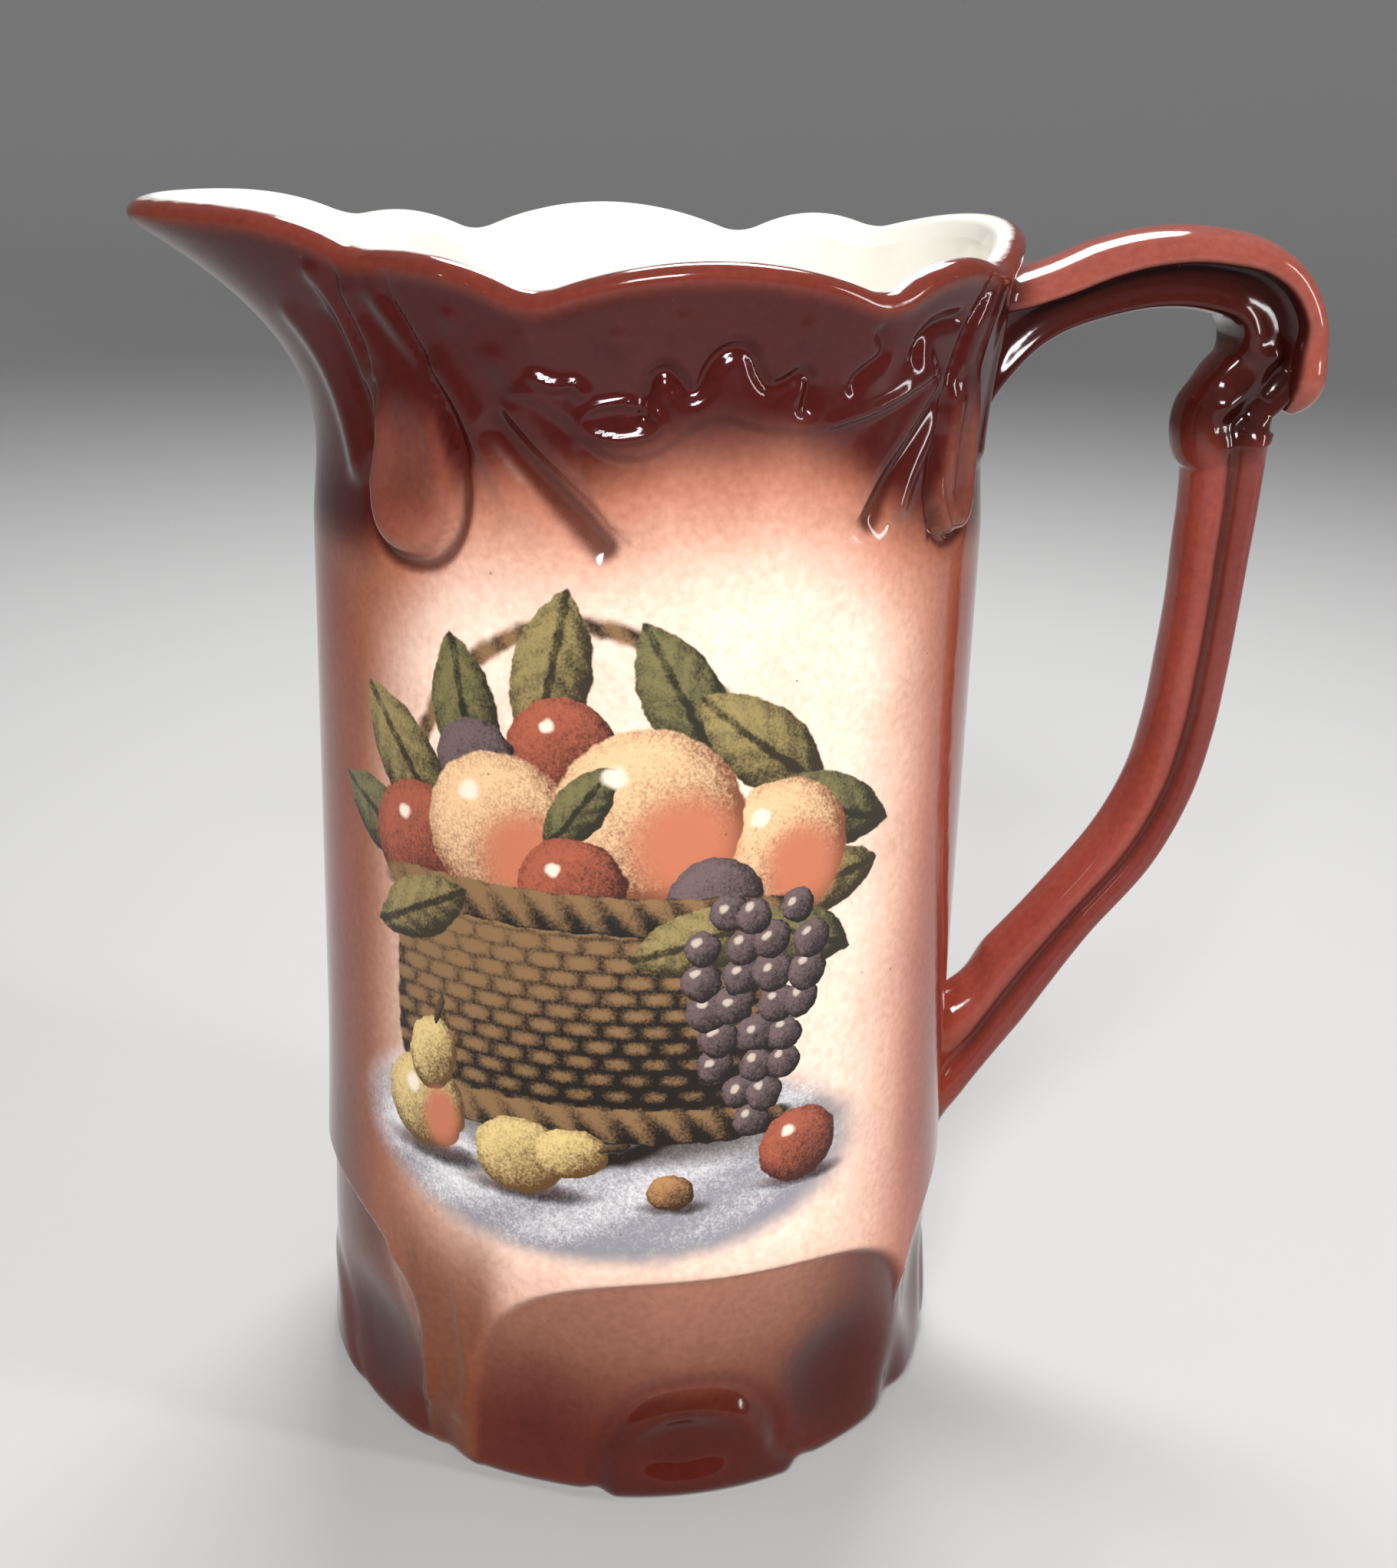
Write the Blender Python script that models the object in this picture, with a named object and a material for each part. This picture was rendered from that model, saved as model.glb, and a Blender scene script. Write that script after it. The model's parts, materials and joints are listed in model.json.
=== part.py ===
"""A moulded porcelain table jug with a scalloped rim, a pulled spout and a scroll handle.

The jug is one fired piece. Its wall is a grid wrapped round the upright axis and pressed into relief,
its handle is a loft along an upright path, and a Boolean joins the two.

Frame: metres, +Z up, origin at the middle of the flat underside.
The spout points to -X, the handle to +X, and -Y is the front with its blank panel.
"""

import math

import bmesh
import bpy
import numpy as np

MM = 0.001

# Driving sizes of the body
BASE_RADIUS = 48.0 * MM        # widest part of the foot band
SHOULDER_RADIUS = 47.1 * MM    # upper end of the straight wall
NECK_RADIUS = 46.4 * MM        # slight waist under the rim
RIM_RADIUS = 49.7 * MM         # scalloped rim away from the spout
BODY_HEIGHT = 173.3 * MM       # crest of the front lobe of the rim
COLLAR_HEIGHT = 29.3 * MM      # from the waist up to the front crest
SHOULDER_DROP = 11.0 * MM      # straight wall ends this far below the waist
SPOUT_REACH = 69.4 * MM        # axis to the outer face of the spout tip
SPOUT_SPREAD = 40.0            # degrees from the spout's middle to where it meets the rim
WALL = 4.0 * MM
FLOOR = 6.0 * MM
LIP_RISE = 1.4 * MM            # rounding of the lip above the wall
FOOT_ROUND = 3.0 * MM          # rounding of the edge that meets the table
FOOT_SWELL = 0.8 * MM          # how far the foot band stands out beyond the wall
FLOOR_ROUND = 9.0 * MM         # rounding between the wall and the floor inside

# Driving sizes of the relief
PETAL_HEIGHT = 36.8 * MM       # foot petals, from the table to their upper edge
PETAL_MIDDLE = 12.0 * MM       # height at which a petal is widest
PETAL_HALF_TURN = 43.2         # degrees
PETAL_DEPTH = 1.0 * MM
SCOOP_DEPTH = 2.0 * MM         # deeper hollows towards the sides of a petal
SCOOP_HEIGHT = 17.0 * MM
CAP_HEIGHT = 17.0 * MM         # small lobe at the foot of each petal
CAP_HALF_TURN = 14.5           # degrees
CAP_RAISE = 1.5 * MM
NOTCH_DEPTH = 1.3 * MM
DROP_RAISE = 2.4 * MM          # pendant drop below the collar
DROP_LENGTH = 37.0 * MM        # from the front crest of the rim to the tip of the longer drop
PLEAT_RAISE = 1.1 * MM         # slanting folds of the collar
PLEAT_WIDTH = 2.2 * MM         # half width of a fold
RIM_DIP = 4.8 * MM             # deepest dip of the rim below its front crest

# Driving sizes of the handle
HANDLE_SPAN = 45.4 * MM        # wall to the middle of the outermost bend
HANDLE_THICKNESS = 10.2 * MM   # grip, in the plane of the loop
HANDLE_WIDTH = 11.4 * MM       # grip, across the loop

# How finely the forms are divided
COLUMNS = 96
SECTION_POINTS = 16
STEPS_PER_STATION = 2

# The rim, as turns from the handle round to the spout in degrees, and rises over BODY_HEIGHT as
# shares of RIM_DIP. Crests and dips take turns.
RIM_TURNS = (0.0, 36.0, 48.0, 64.0, 90.0, 116.0, 136.0, 147.0, 164.0, 180.0)
RIM_RISES = (0.40, -0.50, -0.10, -1.00, 0.00, -0.98, -0.10, -0.23, 0.67, 0.50)

# Foot petals: the middle turn of each from the handle in degrees, the middle turn of its lobe and the
# lobe's share of CAP_RAISE, and the shares of SCOOP_DEPTH towards the handle and towards the spout.
# The back mirrors the front.
PETALS = ((0.0, 0.0, 0.4, 1.0, 1.0), (83.4, 87.0, 1.0, 1.0, 0.3), (180.0, 180.0, 0.2, 1.0, 1.0))
# Notches of the foot between two petals, from the handle in degrees
NOTCH_TURNS = (41.0, 139.0)
# The collar's drops run up into tails: turn, share of DROP_LENGTH below the front crest of the rim,
# and half width in degrees
DROP_STATIONS = (
    ((138.0, 1.00, 1.5), (137.8, 0.93, 6.5), (137.6, 0.84, 8.6), (136.5, 0.68, 8.0),
     (137.5, 0.50, 6.4), (140.0, 0.34, 5.4), (144.0, 0.16, 5.0)),
    ((42.0, 0.96, 1.5), (42.0, 0.89, 5.0), (41.8, 0.78, 6.8), (42.5, 0.62, 6.2),
     (42.0, 0.43, 5.4), (40.0, 0.24, 5.0), (37.0, 0.12, 4.6)),
)
# Slanting folds: from and to, each a turn and a share of DROP_LENGTH below the front crest, and a
# share of PLEAT_RAISE
PLEATS = (
    ((124.0, 0.32), (99.0, 0.92), 1.0),
    ((117.0, 0.16), (108.0, 0.54), 0.7),
    ((131.0, 0.38), (113.0, 0.89), 0.6),
    ((52.0, 0.32), (69.0, 0.86), 1.0),
    ((46.0, 0.43), (51.0, 0.92), 0.7),
    ((163.0, 0.22), (151.0, 0.86), 0.8),
    ((20.0, 0.22), (26.0, 0.81), 0.6),
)
# Heights of the grid's rows, as shares of PETAL_HEIGHT in the foot and of the straight wall above it
FOOT_ROWS = (0.03, 0.08, 0.18, 0.285, 0.395, 0.50, 0.625, 0.76, 0.90, 1.005, 1.14)
WALL_ROWS = (0.50, 0.74, 0.93, 1.00)
COLLAR_ROWS = 12

# The handle's path: shares of HANDLE_SPAN out from the wall, shares of BODY_HEIGHT, shares of half the
# grip's thickness and of half its width. A span of 0 lies in the wall.
HANDLE_STATIONS = (
    (0.000, 0.9077, 2.00, 1.35),
    (0.084, 0.9256, 1.43, 1.20),
    (0.158, 0.9394, 1.12, 1.10),
    (0.242, 0.9504, 1.00, 1.06),
    (0.355, 0.9613, 1.04, 1.06),
    (0.477, 0.9688, 1.08, 1.08),
    (0.601, 0.9711, 1.12, 1.12),
    (0.722, 0.9680, 1.16, 1.16),
    (0.828, 0.9610, 1.22, 1.20),
    (0.914, 0.9463, 1.29, 1.22),
    (0.970, 0.9251, 1.35, 1.20),
    (0.985, 0.9012, 1.37, 1.14),
    (0.956, 0.8800, 1.37, 1.08),
    (0.900, 0.8640, 1.35, 1.06),
    (0.863, 0.8459, 1.43, 1.12),
    (0.859, 0.8263, 1.37, 1.12),
    (0.869, 0.8055, 1.14, 1.02),
    (0.861, 0.7703, 1.07, 1.00),
    (0.854, 0.7305, 1.04, 1.00),
    (0.848, 0.6867, 1.00, 1.00),
    (0.833, 0.6307, 1.00, 1.00),
    (0.810, 0.5736, 0.99, 1.00),
    (0.758, 0.5153, 0.98, 1.00),
    (0.648, 0.4564, 1.00, 1.00),
    (0.464, 0.3960, 0.98, 0.99),
    (0.329, 0.3500, 1.14, 0.98),
    (0.235, 0.3160, 1.46, 1.00),
    (0.126, 0.2760, 1.92, 1.08),
    (0.000, 0.2424, 2.35, 1.25),
)
# The curl in which the outer strap of the handle ends, told the same way
CURL_STATIONS = (
    (0.930, 0.9480, 0.60, 0.85),
    (1.012, 0.9250, 0.84, 1.10),
    (1.046, 0.9019, 0.90, 1.15),
    (1.066, 0.8794, 0.86, 1.15),
    (1.064, 0.8621, 0.61, 0.90),
    (1.048, 0.8517, 0.24, 0.45),
)
# Section of the handle across the loop: a narrower rib inside, a wider strap outside.
# Each pair is a share of the thickness, inside to outside, and a share of the width.
SECTION_STATIONS = ((-1.0, 0.0), (-0.93, 0.42), (-0.72, 0.72), (-0.35, 0.84), (0.05, 0.80),
                    (0.32, 0.98), (0.60, 0.97), (0.86, 0.66), (1.0, 0.0))

GLAZE_COLOUR = (0.30, 0.085, 0.045, 1.0)
GLAZE_ROUGHNESS = 0.14


def smooth_step(share):
    """0 below 0, 1 above 1, and an S curve between."""
    share = np.clip(share, 0.0, 1.0)
    return share * share * (3.0 - 2.0 * share)


def around_the_handle(turn):
    """Turn from the handle, 0 to 180 degrees, of an angle in radians: front and back mirror each other."""
    return np.degrees(np.abs((turn + math.pi) % (2.0 * math.pi) - math.pi))


def arch_height(away):
    """Height of the rim's arches: each falls with the square of the way from its crest to the next dip."""
    height = np.full_like(away, BODY_HEIGHT)
    rises = RIM_DIP * np.array(RIM_RISES)
    for crest in range(0, len(RIM_TURNS), 2):
        top = rises[crest]
        for dip in (crest - 1, crest + 1):
            if not 0 <= dip < len(RIM_TURNS):
                continue
            way = (away - RIM_TURNS[crest]) / (RIM_TURNS[dip] - RIM_TURNS[crest])
            arch = BODY_HEIGHT + top - (top - rises[dip]) * way ** 2
            height = np.where((way >= 0.0) & (way <= 1.0), arch, height)
    return height


def rim_height(away):
    """Height of the rim: the arches, averaged over a few degrees, which rounds the dips between them."""
    spread = [180.0 - np.abs(180.0 - np.abs(away + offset)) for offset in (-3.0, -1.0, 1.0, 3.0)]
    return sum(arch_height(near) for near in spread) / len(spread)


def spout_share(away):
    """1 in the middle of the spout, falling to 0 at its sides."""
    off = np.clip((180.0 - away) / SPOUT_SPREAD, 0.0, 1.0)
    return (0.5 + 0.5 * np.cos(math.pi * off)) ** 1.3


def rim_radius(away):
    """Radius of the rim: round, and drawn out into the spout."""
    return RIM_RADIUS + (SPOUT_REACH - RIM_RADIUS) * spout_share(away)


def flare_share(climb):
    """How far the collar has opened: a growing curve that rolls over just under the rim."""
    opened = (climb / 0.915) ** 2.2
    blend = np.clip(0.5 + 0.5 * (1.0 - opened) / 0.12, 0.0, 1.0)
    return opened * blend + (1.0 - blend) - 0.12 * blend * (1.0 - blend)


def plain_radius(height, away):
    """Radius of the wall with no relief: a barely tapered wall, a waist, and a collar that flares out."""
    waist = BODY_HEIGHT - COLLAR_HEIGHT
    shoulder = waist - SHOULDER_DROP
    wall = BASE_RADIUS + (SHOULDER_RADIUS - BASE_RADIUS) * np.clip(height / shoulder, 0.0, 1.0)
    wall = wall + (NECK_RADIUS - SHOULDER_RADIUS) * smooth_step((height - shoulder) / SHOULDER_DROP)
    climb = np.clip((height - waist) / (rim_height(away) - waist), 0.0, 1.0)
    return wall + (rim_radius(away) - NECK_RADIUS) * flare_share(climb)


def superellipse(across, up):
    """1 on the edge of a rounded square, less inside."""
    return (np.abs(across) ** 3 + np.abs(up) ** 3) ** (1.0 / 3.0)


def foot_relief(away, height):
    """Hollowed petals round the foot that run out to the table, with a small lobe at the foot of each."""
    rise = height / PETAL_HEIGHT
    relief = FOOT_SWELL * smooth_step(1.6 - rise) * (0.3 + 0.7 * smooth_step(3.0 * rise))
    up = (height - PETAL_MIDDLE) / (PETAL_HEIGHT - PETAL_MIDDLE)
    for middle, lobe, lobe_share, handle_scoop, spout_scoop in PETALS:
        across = (away - middle) / PETAL_HALF_TURN
        inside = smooth_step((1.03 - superellipse(across, np.maximum(up, 0.0))) / 0.10)
        run_out = smooth_step(rise / 0.6)
        relief = relief - PETAL_DEPTH * inside * run_out
        for side, share in ((-1.0, handle_scoop), (1.0, spout_scoop)):
            spread = (across - side * 0.62) / 0.24
            drop = (height - SCOOP_HEIGHT) / (0.26 * PETAL_HEIGHT)
            relief = relief - SCOOP_DEPTH * share * inside * np.exp(-spread ** 2 - drop ** 2)
        edge = superellipse((away - lobe) / CAP_HALF_TURN, height / CAP_HEIGHT)
        raised = smooth_step((1.06 - edge) / 0.22)
        hollow = np.exp(-((edge - 0.50) / 0.22) ** 2) * smooth_step(height / (0.5 * CAP_HEIGHT))
        relief = relief + CAP_RAISE * lobe_share * raised * (1.0 - 0.6 * hollow)
    for middle in NOTCH_TURNS:
        notch = np.exp(-((away - middle) / 4.5) ** 2) * smooth_step(1.0 - height / CAP_HEIGHT)
        relief = relief - NOTCH_DEPTH * notch
    return relief


def drop_relief(away, below):
    """Raised drops whose tails run up to the rim, each a row of stations from its tip upwards."""
    relief = np.zeros_like(away)
    for stations in DROP_STATIONS:
        turns, depths, halves = (np.array(column) for column in zip(*stations[::-1]))
        depths = depths * DROP_LENGTH
        middle = np.interp(below, depths, turns)
        half = np.interp(below, depths, halves)
        edge = np.abs(away - middle) / half
        ends = smooth_step((depths[-1] - below) / (0.08 * DROP_LENGTH))
        ends = ends * smooth_step(below / (0.22 * DROP_LENGTH))
        swell = np.sqrt(np.clip(1.0 - edge ** 2, 0.0, 1.0))
        relief += DROP_RAISE * (0.35 + 0.65 * half / halves.max()) * swell * ends
        relief -= 0.25 * DROP_RAISE * np.exp(-((edge - 1.25) / 0.22) ** 2) * ends
    return relief


def pleat_relief(away, below):
    """Soft ridges along straight slanting lines."""
    relief = np.zeros_like(away)
    degree = BASE_RADIUS * math.pi / 180.0
    for (turn_a, below_a), (turn_b, below_b), share in PLEATS:
        start = np.array([turn_a * degree, below_a * DROP_LENGTH])
        along = np.array([turn_b * degree, below_b * DROP_LENGTH]) - start
        length = np.hypot(*along)
        across_x = away * degree - start[0]
        across_y = below - start[1]
        way = (across_x * along[0] + across_y * along[1]) / length ** 2
        off = (across_x * along[1] - across_y * along[0]) / length
        fade = smooth_step((way + 0.12) / 0.2) * smooth_step((1.12 - way) / 0.2)
        relief += PLEAT_RAISE * share * np.exp(-(off / PLEAT_WIDTH) ** 2) * fade
    return relief


def outer_radius(turn, height):
    """Radius of the outer face with its relief."""
    away = around_the_handle(turn)
    below = BODY_HEIGHT - height
    rounding = np.clip(1.0 - height / FOOT_ROUND, 0.0, 1.0)
    foot = FOOT_ROUND * (1.0 - np.sqrt(1.0 - rounding ** 2))
    relief = foot_relief(away, height) + drop_relief(away, below) + pleat_relief(away, below)
    return plain_radius(height, away) - foot + relief


def place(radius, turn, height):
    """Points at a radius and a turn from the handle (radians), as an array with a last axis of 3."""
    return np.stack([radius * np.cos(turn), radius * np.sin(turn), height + 0.0 * radius], axis=-1)


def inner_point(turn, climb):
    """The inner face: the plain outer face moved in by the wall, square to itself."""
    step = 0.002
    rim = rim_height(around_the_handle(turn))

    def plain(at_turn, at_climb):
        away = around_the_handle(at_turn)
        height = at_climb * rim_height(away)
        return place(plain_radius(height, away), at_turn, height)

    upward = plain(turn, climb + step) - plain(turn, climb - step)
    sideways = plain(turn + step, climb) - plain(turn - step, climb)
    inward = np.cross(upward, sideways)
    inward /= np.linalg.norm(inward, axis=-1, keepdims=True)
    point = plain(turn, climb) + WALL * inward
    upward /= np.linalg.norm(upward, axis=-1, keepdims=True)
    return point, upward, inward, rim


def wall_rows():
    """The rows of the grid, from the middle of the underside over the lip to the middle of the floor."""
    shoulder = BODY_HEIGHT - COLLAR_HEIGHT - SHOULDER_DROP
    foot = [("underside", share) for share in (0.0, 0.55, 1.0)]
    low = [("outer", share * PETAL_HEIGHT / BODY_HEIGHT) for share in FOOT_ROWS]
    middle = [("outer", share * shoulder / BODY_HEIGHT) for share in WALL_ROWS]
    waist = (shoulder + 0.36 * SHOULDER_DROP) / BODY_HEIGHT
    high = [("outer", waist + (0.99 - waist) * step / (COLLAR_ROWS - 1)) for step in range(COLLAR_ROWS)]
    lip = [("lip", share) for share in (0.0, 0.25, 0.5, 0.75, 1.0)]
    inner = [("inner", share) for share in (0.94, 0.88, 0.80, 0.60, 0.30)]
    bottom = [("corner", share) for share in (1.0, 0.75, 0.5, 0.25, 0.0)]
    return foot + low + middle + high + lip + inner + bottom + [("floor", 0.0)]


def row_points(kind, share, turn):
    """The ring of points of one row of the grid."""
    zero = np.zeros_like(turn)
    away = around_the_handle(turn)
    if kind == "underside":
        return place(share * (outer_radius(turn, zero) - 0.07 * FOOT_ROUND), turn, zero)
    if kind == "outer":
        height = share * rim_height(away)
        return place(outer_radius(turn, height), turn, height)
    if kind == "lip":
        inside, upward, inward, _ = inner_point(turn, 0.99 + zero)
        rise = LIP_RISE * math.sin(math.pi * share)
        return inside - (1.0 - share) * WALL * inward + rise * upward
    if kind == "inner":
        return inner_point(turn, share + zero)[0]
    inner_radius = plain_radius(FLOOR + FLOOR_ROUND + zero, away) - WALL
    if kind == "floor":
        return place(share * (inner_radius - FLOOR_ROUND), turn, FLOOR + zero)
    bend = share * math.pi / 2.0
    radius = inner_radius - FLOOR_ROUND * (1.0 - math.sin(bend))
    return place(radius, turn, FLOOR + FLOOR_ROUND * (1.0 - math.cos(bend)) + zero)


def finished(blank, name):
    """Welds a wrapped grid into a closed mesh with its faces pointing out."""
    bmesh.ops.remove_doubles(blank, verts=blank.verts, dist=0.01 * MM)
    bmesh.ops.holes_fill(blank, edges=blank.edges)
    bmesh.ops.recalc_face_normals(blank, faces=blank.faces)
    mesh = bpy.data.meshes.new(name)
    blank.to_mesh(mesh)
    blank.free()
    mesh.shade_smooth()
    mesh.set_sharp_from_angle(angle=math.radians(50.0))
    return mesh


def wrapped_grid(across, along, point_at, name):
    """Wraps a flat grid into a tube: point_at gives the place of each column and row."""
    blank = bmesh.new()
    bmesh.ops.create_grid(blank, x_segments=across, y_segments=along, size=1.0)
    for corner in blank.verts:
        column = round((corner.co.x + 1.0) / 2.0 * across) % across
        row = round((corner.co.y + 1.0) / 2.0 * along)
        corner.co = point_at[row][column]
    return finished(blank, name)


def body_mesh():
    """The wall, lip, inside and floor of the jug as one closed surface."""
    turn = np.arange(COLUMNS) * 2.0 * math.pi / COLUMNS
    rows = [row_points(kind, share, turn) for kind, share in wall_rows()]
    return wrapped_grid(COLUMNS, len(rows) - 1, rows, "jug")


def smooth_path(stations, steps):
    """A Catmull-Rom curve through the stations, with steps points to each."""
    rows = np.array(stations)
    padded = np.vstack([2.0 * rows[0] - rows[1], rows, 2.0 * rows[-1] - rows[-2]])
    points = []
    for span in range(len(rows) - 1):
        a, b, c, d = padded[span:span + 4]
        for share in np.arange(steps) / steps:
            points.append(0.5 * (2.0 * b + (c - a) * share + (2.0 * a - 5.0 * b + 4.0 * c - d) * share ** 2
                                 + (3.0 * b - a - 3.0 * c + d) * share ** 3))
    return np.array(points + [rows[-1]])


def section_ring():
    """Points of the handle's section: shares of its thickness and width, once round."""
    depths, widths = (np.array(column) for column in zip(*SECTION_STATIONS))
    half = SECTION_POINTS // 2
    depth = -np.cos(np.arange(half + 1) * math.pi / half)
    width = np.interp(depth, depths, widths)
    return np.concatenate([depth, depth[-2:0:-1]]), np.concatenate([width, -width[-2:0:-1]])


def loft_mesh(stations, name, in_wall):
    """A loft along a path in the plane of the loop. Its sections stand upright near the wall."""
    path = smooth_path(stations, STEPS_PER_STATION)
    height = path[:, 1] * BODY_HEIGHT
    at_handle = np.zeros_like(height)
    out = plain_radius(height, at_handle) + path[:, 0] * HANDLE_SPAN
    line = np.stack([out, height], axis=1)
    heading = np.gradient(line, axis=0)
    heading /= np.linalg.norm(heading, axis=1, keepdims=True)
    upright = 1.0 - smooth_step((path[:, :1] - 0.12) / 0.30)
    heading = heading + upright * (np.sign(heading[:, :1]) * (1.0, 0.0) - heading)
    heading /= np.linalg.norm(heading, axis=1, keepdims=True)
    outward = np.stack([-heading[:, 1], heading[:, 0]], axis=1)
    depth, width = section_ring()
    rows = []
    for centre, side, thick, wide in zip(line, outward, path[:, 2], path[:, 3]):
        plane = centre + depth[:, None] * side * thick * HANDLE_THICKNESS / 2.0
        across = width * wide * HANDLE_WIDTH / 2.0
        rows.append(np.stack([plane[:, 0], across, plane[:, 1]], axis=1))
    if in_wall:
        for end in (0, -1):
            rows[end] = seated(rows[end])
    return wrapped_grid(len(depth), len(rows) - 1, rows, name)


def seated(ring):
    """An end ring of the handle, moved along its radius to the middle of the wall."""
    turn = np.arctan2(ring[:, 1], ring[:, 0])
    radius = plain_radius(ring[:, 2], around_the_handle(turn)) - WALL / 2.0
    return place(radius, turn, ring[:, 2])


def glaze():
    """Glossy brown glaze."""
    material = bpy.data.materials.new("glaze")
    material.use_nodes = True
    shader = material.node_tree.nodes["Principled BSDF"]
    shader.inputs["Base Color"].default_value = GLAZE_COLOUR
    shader.inputs["Roughness"].default_value = GLAZE_ROUGHNESS
    shader.inputs["Metallic"].default_value = 0.0
    return material


def collection_named(name):
    group = bpy.data.collections.new(name)
    bpy.context.scene.collection.children.link(group)
    return group


def joined(target, helper, helpers):
    """Joins a helper mesh to the target with a Boolean, and keeps the helper as a guide."""
    guide = bpy.data.objects.new(helper.name, helper)
    helpers.objects.link(guide)
    guide.hide_render = True
    guide.display_type = "WIRE"
    join = target.modifiers.new(helper.name, "BOOLEAN")
    join.operation = "UNION"
    join.object = guide


def build():
    for old in list(bpy.data.objects):
        bpy.data.objects.remove(old)
    jug_parts = collection_named("table jug")
    helpers = collection_named("joining guides")
    jug = bpy.data.objects.new("jug", body_mesh())
    jug_parts.objects.link(jug)
    jug.data.materials.append(glaze())
    joined(jug, loft_mesh(HANDLE_STATIONS, "handle guide", True), helpers)
    joined(jug, loft_mesh(CURL_STATIONS, "curl guide", False), helpers)


build()
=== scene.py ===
# %% [markdown]
# # A moulded table jug with a scalloped rim and a scroll handle
#
# The real jug is one thin-walled piece of glazed pottery. Its body was cast in a mould that carried the
# relief, its handle was cast apart and luted on, and its colours were blown on under a clear glaze.
# This lesson builds it as three closed surfaces, all worked out with numpy: the body, the handle's core
# and the strap that runs over the core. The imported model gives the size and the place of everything.

# %% Load the frame
import json
import math

import bpy
import numpy as np
from mathutils import Matrix, Vector

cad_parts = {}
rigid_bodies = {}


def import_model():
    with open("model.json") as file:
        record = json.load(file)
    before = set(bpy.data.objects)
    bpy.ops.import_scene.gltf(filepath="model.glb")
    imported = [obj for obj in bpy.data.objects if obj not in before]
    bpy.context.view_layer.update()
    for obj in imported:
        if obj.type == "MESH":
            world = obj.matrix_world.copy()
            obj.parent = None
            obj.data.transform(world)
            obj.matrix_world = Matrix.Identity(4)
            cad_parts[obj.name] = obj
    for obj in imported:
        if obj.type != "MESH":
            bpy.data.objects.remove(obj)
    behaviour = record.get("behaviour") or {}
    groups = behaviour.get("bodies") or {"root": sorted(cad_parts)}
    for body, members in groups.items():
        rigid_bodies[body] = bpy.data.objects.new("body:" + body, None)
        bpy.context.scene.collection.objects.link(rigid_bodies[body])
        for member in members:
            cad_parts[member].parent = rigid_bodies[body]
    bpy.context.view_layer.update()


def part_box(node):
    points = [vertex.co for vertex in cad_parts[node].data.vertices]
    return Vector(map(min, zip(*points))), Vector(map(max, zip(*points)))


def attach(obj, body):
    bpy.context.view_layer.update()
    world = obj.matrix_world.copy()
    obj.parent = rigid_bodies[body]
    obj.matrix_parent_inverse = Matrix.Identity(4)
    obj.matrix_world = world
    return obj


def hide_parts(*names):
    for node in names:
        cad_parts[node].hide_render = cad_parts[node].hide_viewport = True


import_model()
low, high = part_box("jug")
JUG_HEIGHT = 176.44                     # modelled height of the jug in millimetres
MM = (high[2] - low[2]) / JUG_HEIGHT    # one millimetre of the jug, in metres
print("one millimetre of the jug is", round(MM, 7), "m")

# %% [markdown]
# ## The camera
#
# The photograph looks down on the jug from a little to the left of its front, and it is tilted by about
# a degree. A camera could be aimed with a Track To constraint, but a constraint would undo the tilt.
# Here the turn, the pitch and the roll are three plain rotations, multiplied in that order.

# %% Camera
CAMERA_DISTANCE = 276.0     # millimetres from the jug's axis, measured along the table
CAMERA_HEIGHT = 194.4
CAMERA_TURN = math.radians(-9.4)
CAMERA_PITCH = math.radians(20.3)
CAMERA_ROLL = math.radians(1.29)
FRAME_WIDTH = 36.0          # millimetres of the camera's frame, for which LENS is given
LENS = 44.93
FRAME_SHIFT = (0.0366, -0.0008)


def linked(name, data):
    """A new object for some data, linked to the scene."""
    made = bpy.data.objects.new(name, data)
    bpy.context.scene.collection.objects.link(made)
    return made


def make_camera():
    """A camera at CAMERA_DISTANCE and CAMERA_HEIGHT that heads for the axis, pitched down and rolled."""
    data = bpy.data.cameras.new("camera")
    data.lens = LENS
    data.sensor_width = FRAME_WIDTH
    data.shift_x, data.shift_y = FRAME_SHIFT
    data.clip_start = 0.01
    made = linked("camera", data)
    out = CAMERA_DISTANCE * MM
    stand = Matrix.Translation((math.sin(CAMERA_TURN) * out, -math.cos(CAMERA_TURN) * out,
                                CAMERA_HEIGHT * MM))
    turn = Matrix.Rotation(CAMERA_TURN, 4, "Z")
    pitch = Matrix.Rotation(math.pi / 2.0 - CAMERA_PITCH, 4, "X")
    made.matrix_world = stand @ turn @ pitch @ Matrix.Rotation(CAMERA_ROLL, 4, "Z")
    bpy.context.scene.camera = made
    return made


camera = make_camera()
print("camera at", [round(value, 4) for value in camera.location])

# %% [markdown]
# ## Driving sizes
#
# The body is a barely tapered wall with a slight waist and a collar that flares out into arches and a
# spout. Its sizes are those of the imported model, written in millimetres of the jug. Places on the wall
# are told by two numbers: the turn away from the handle in degrees, from 0 at the handle to 180 at the
# spout, and a height or a depth below the front crest of the rim. The mould's halves mirror each other,
# so one turn stands for a place on the front and its twin on the back.

# %% Sizes of the body
BASE_RADIUS = 48.0
SHOULDER_RADIUS = 47.1
NECK_RADIUS = 46.4
RIM_RADIUS = 49.7
BODY_HEIGHT = 173.3
COLLAR_HEIGHT = 29.3
SHOULDER_DROP = 11.0
SPOUT_REACH = 69.4
SPOUT_SPREAD = 40.0
WALL = 4.0
FLOOR = 6.0
LIP_RISE = 1.4
FOOT_ROUND = 3.0
FLOOR_ROUND = 9.0
RIM_TURNS = (0.0, 36.0, 48.0, 64.0, 90.0, 116.0, 136.0, 147.0, 164.0, 180.0)
RIM_RISES = (1.9, -2.4, -0.5, -4.8, 0.0, -4.7, -0.5, -1.1, 3.2, 2.4)
DEGREE = BASE_RADIUS * math.pi / 180.0      # millimetres along the wall for each degree


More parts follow.
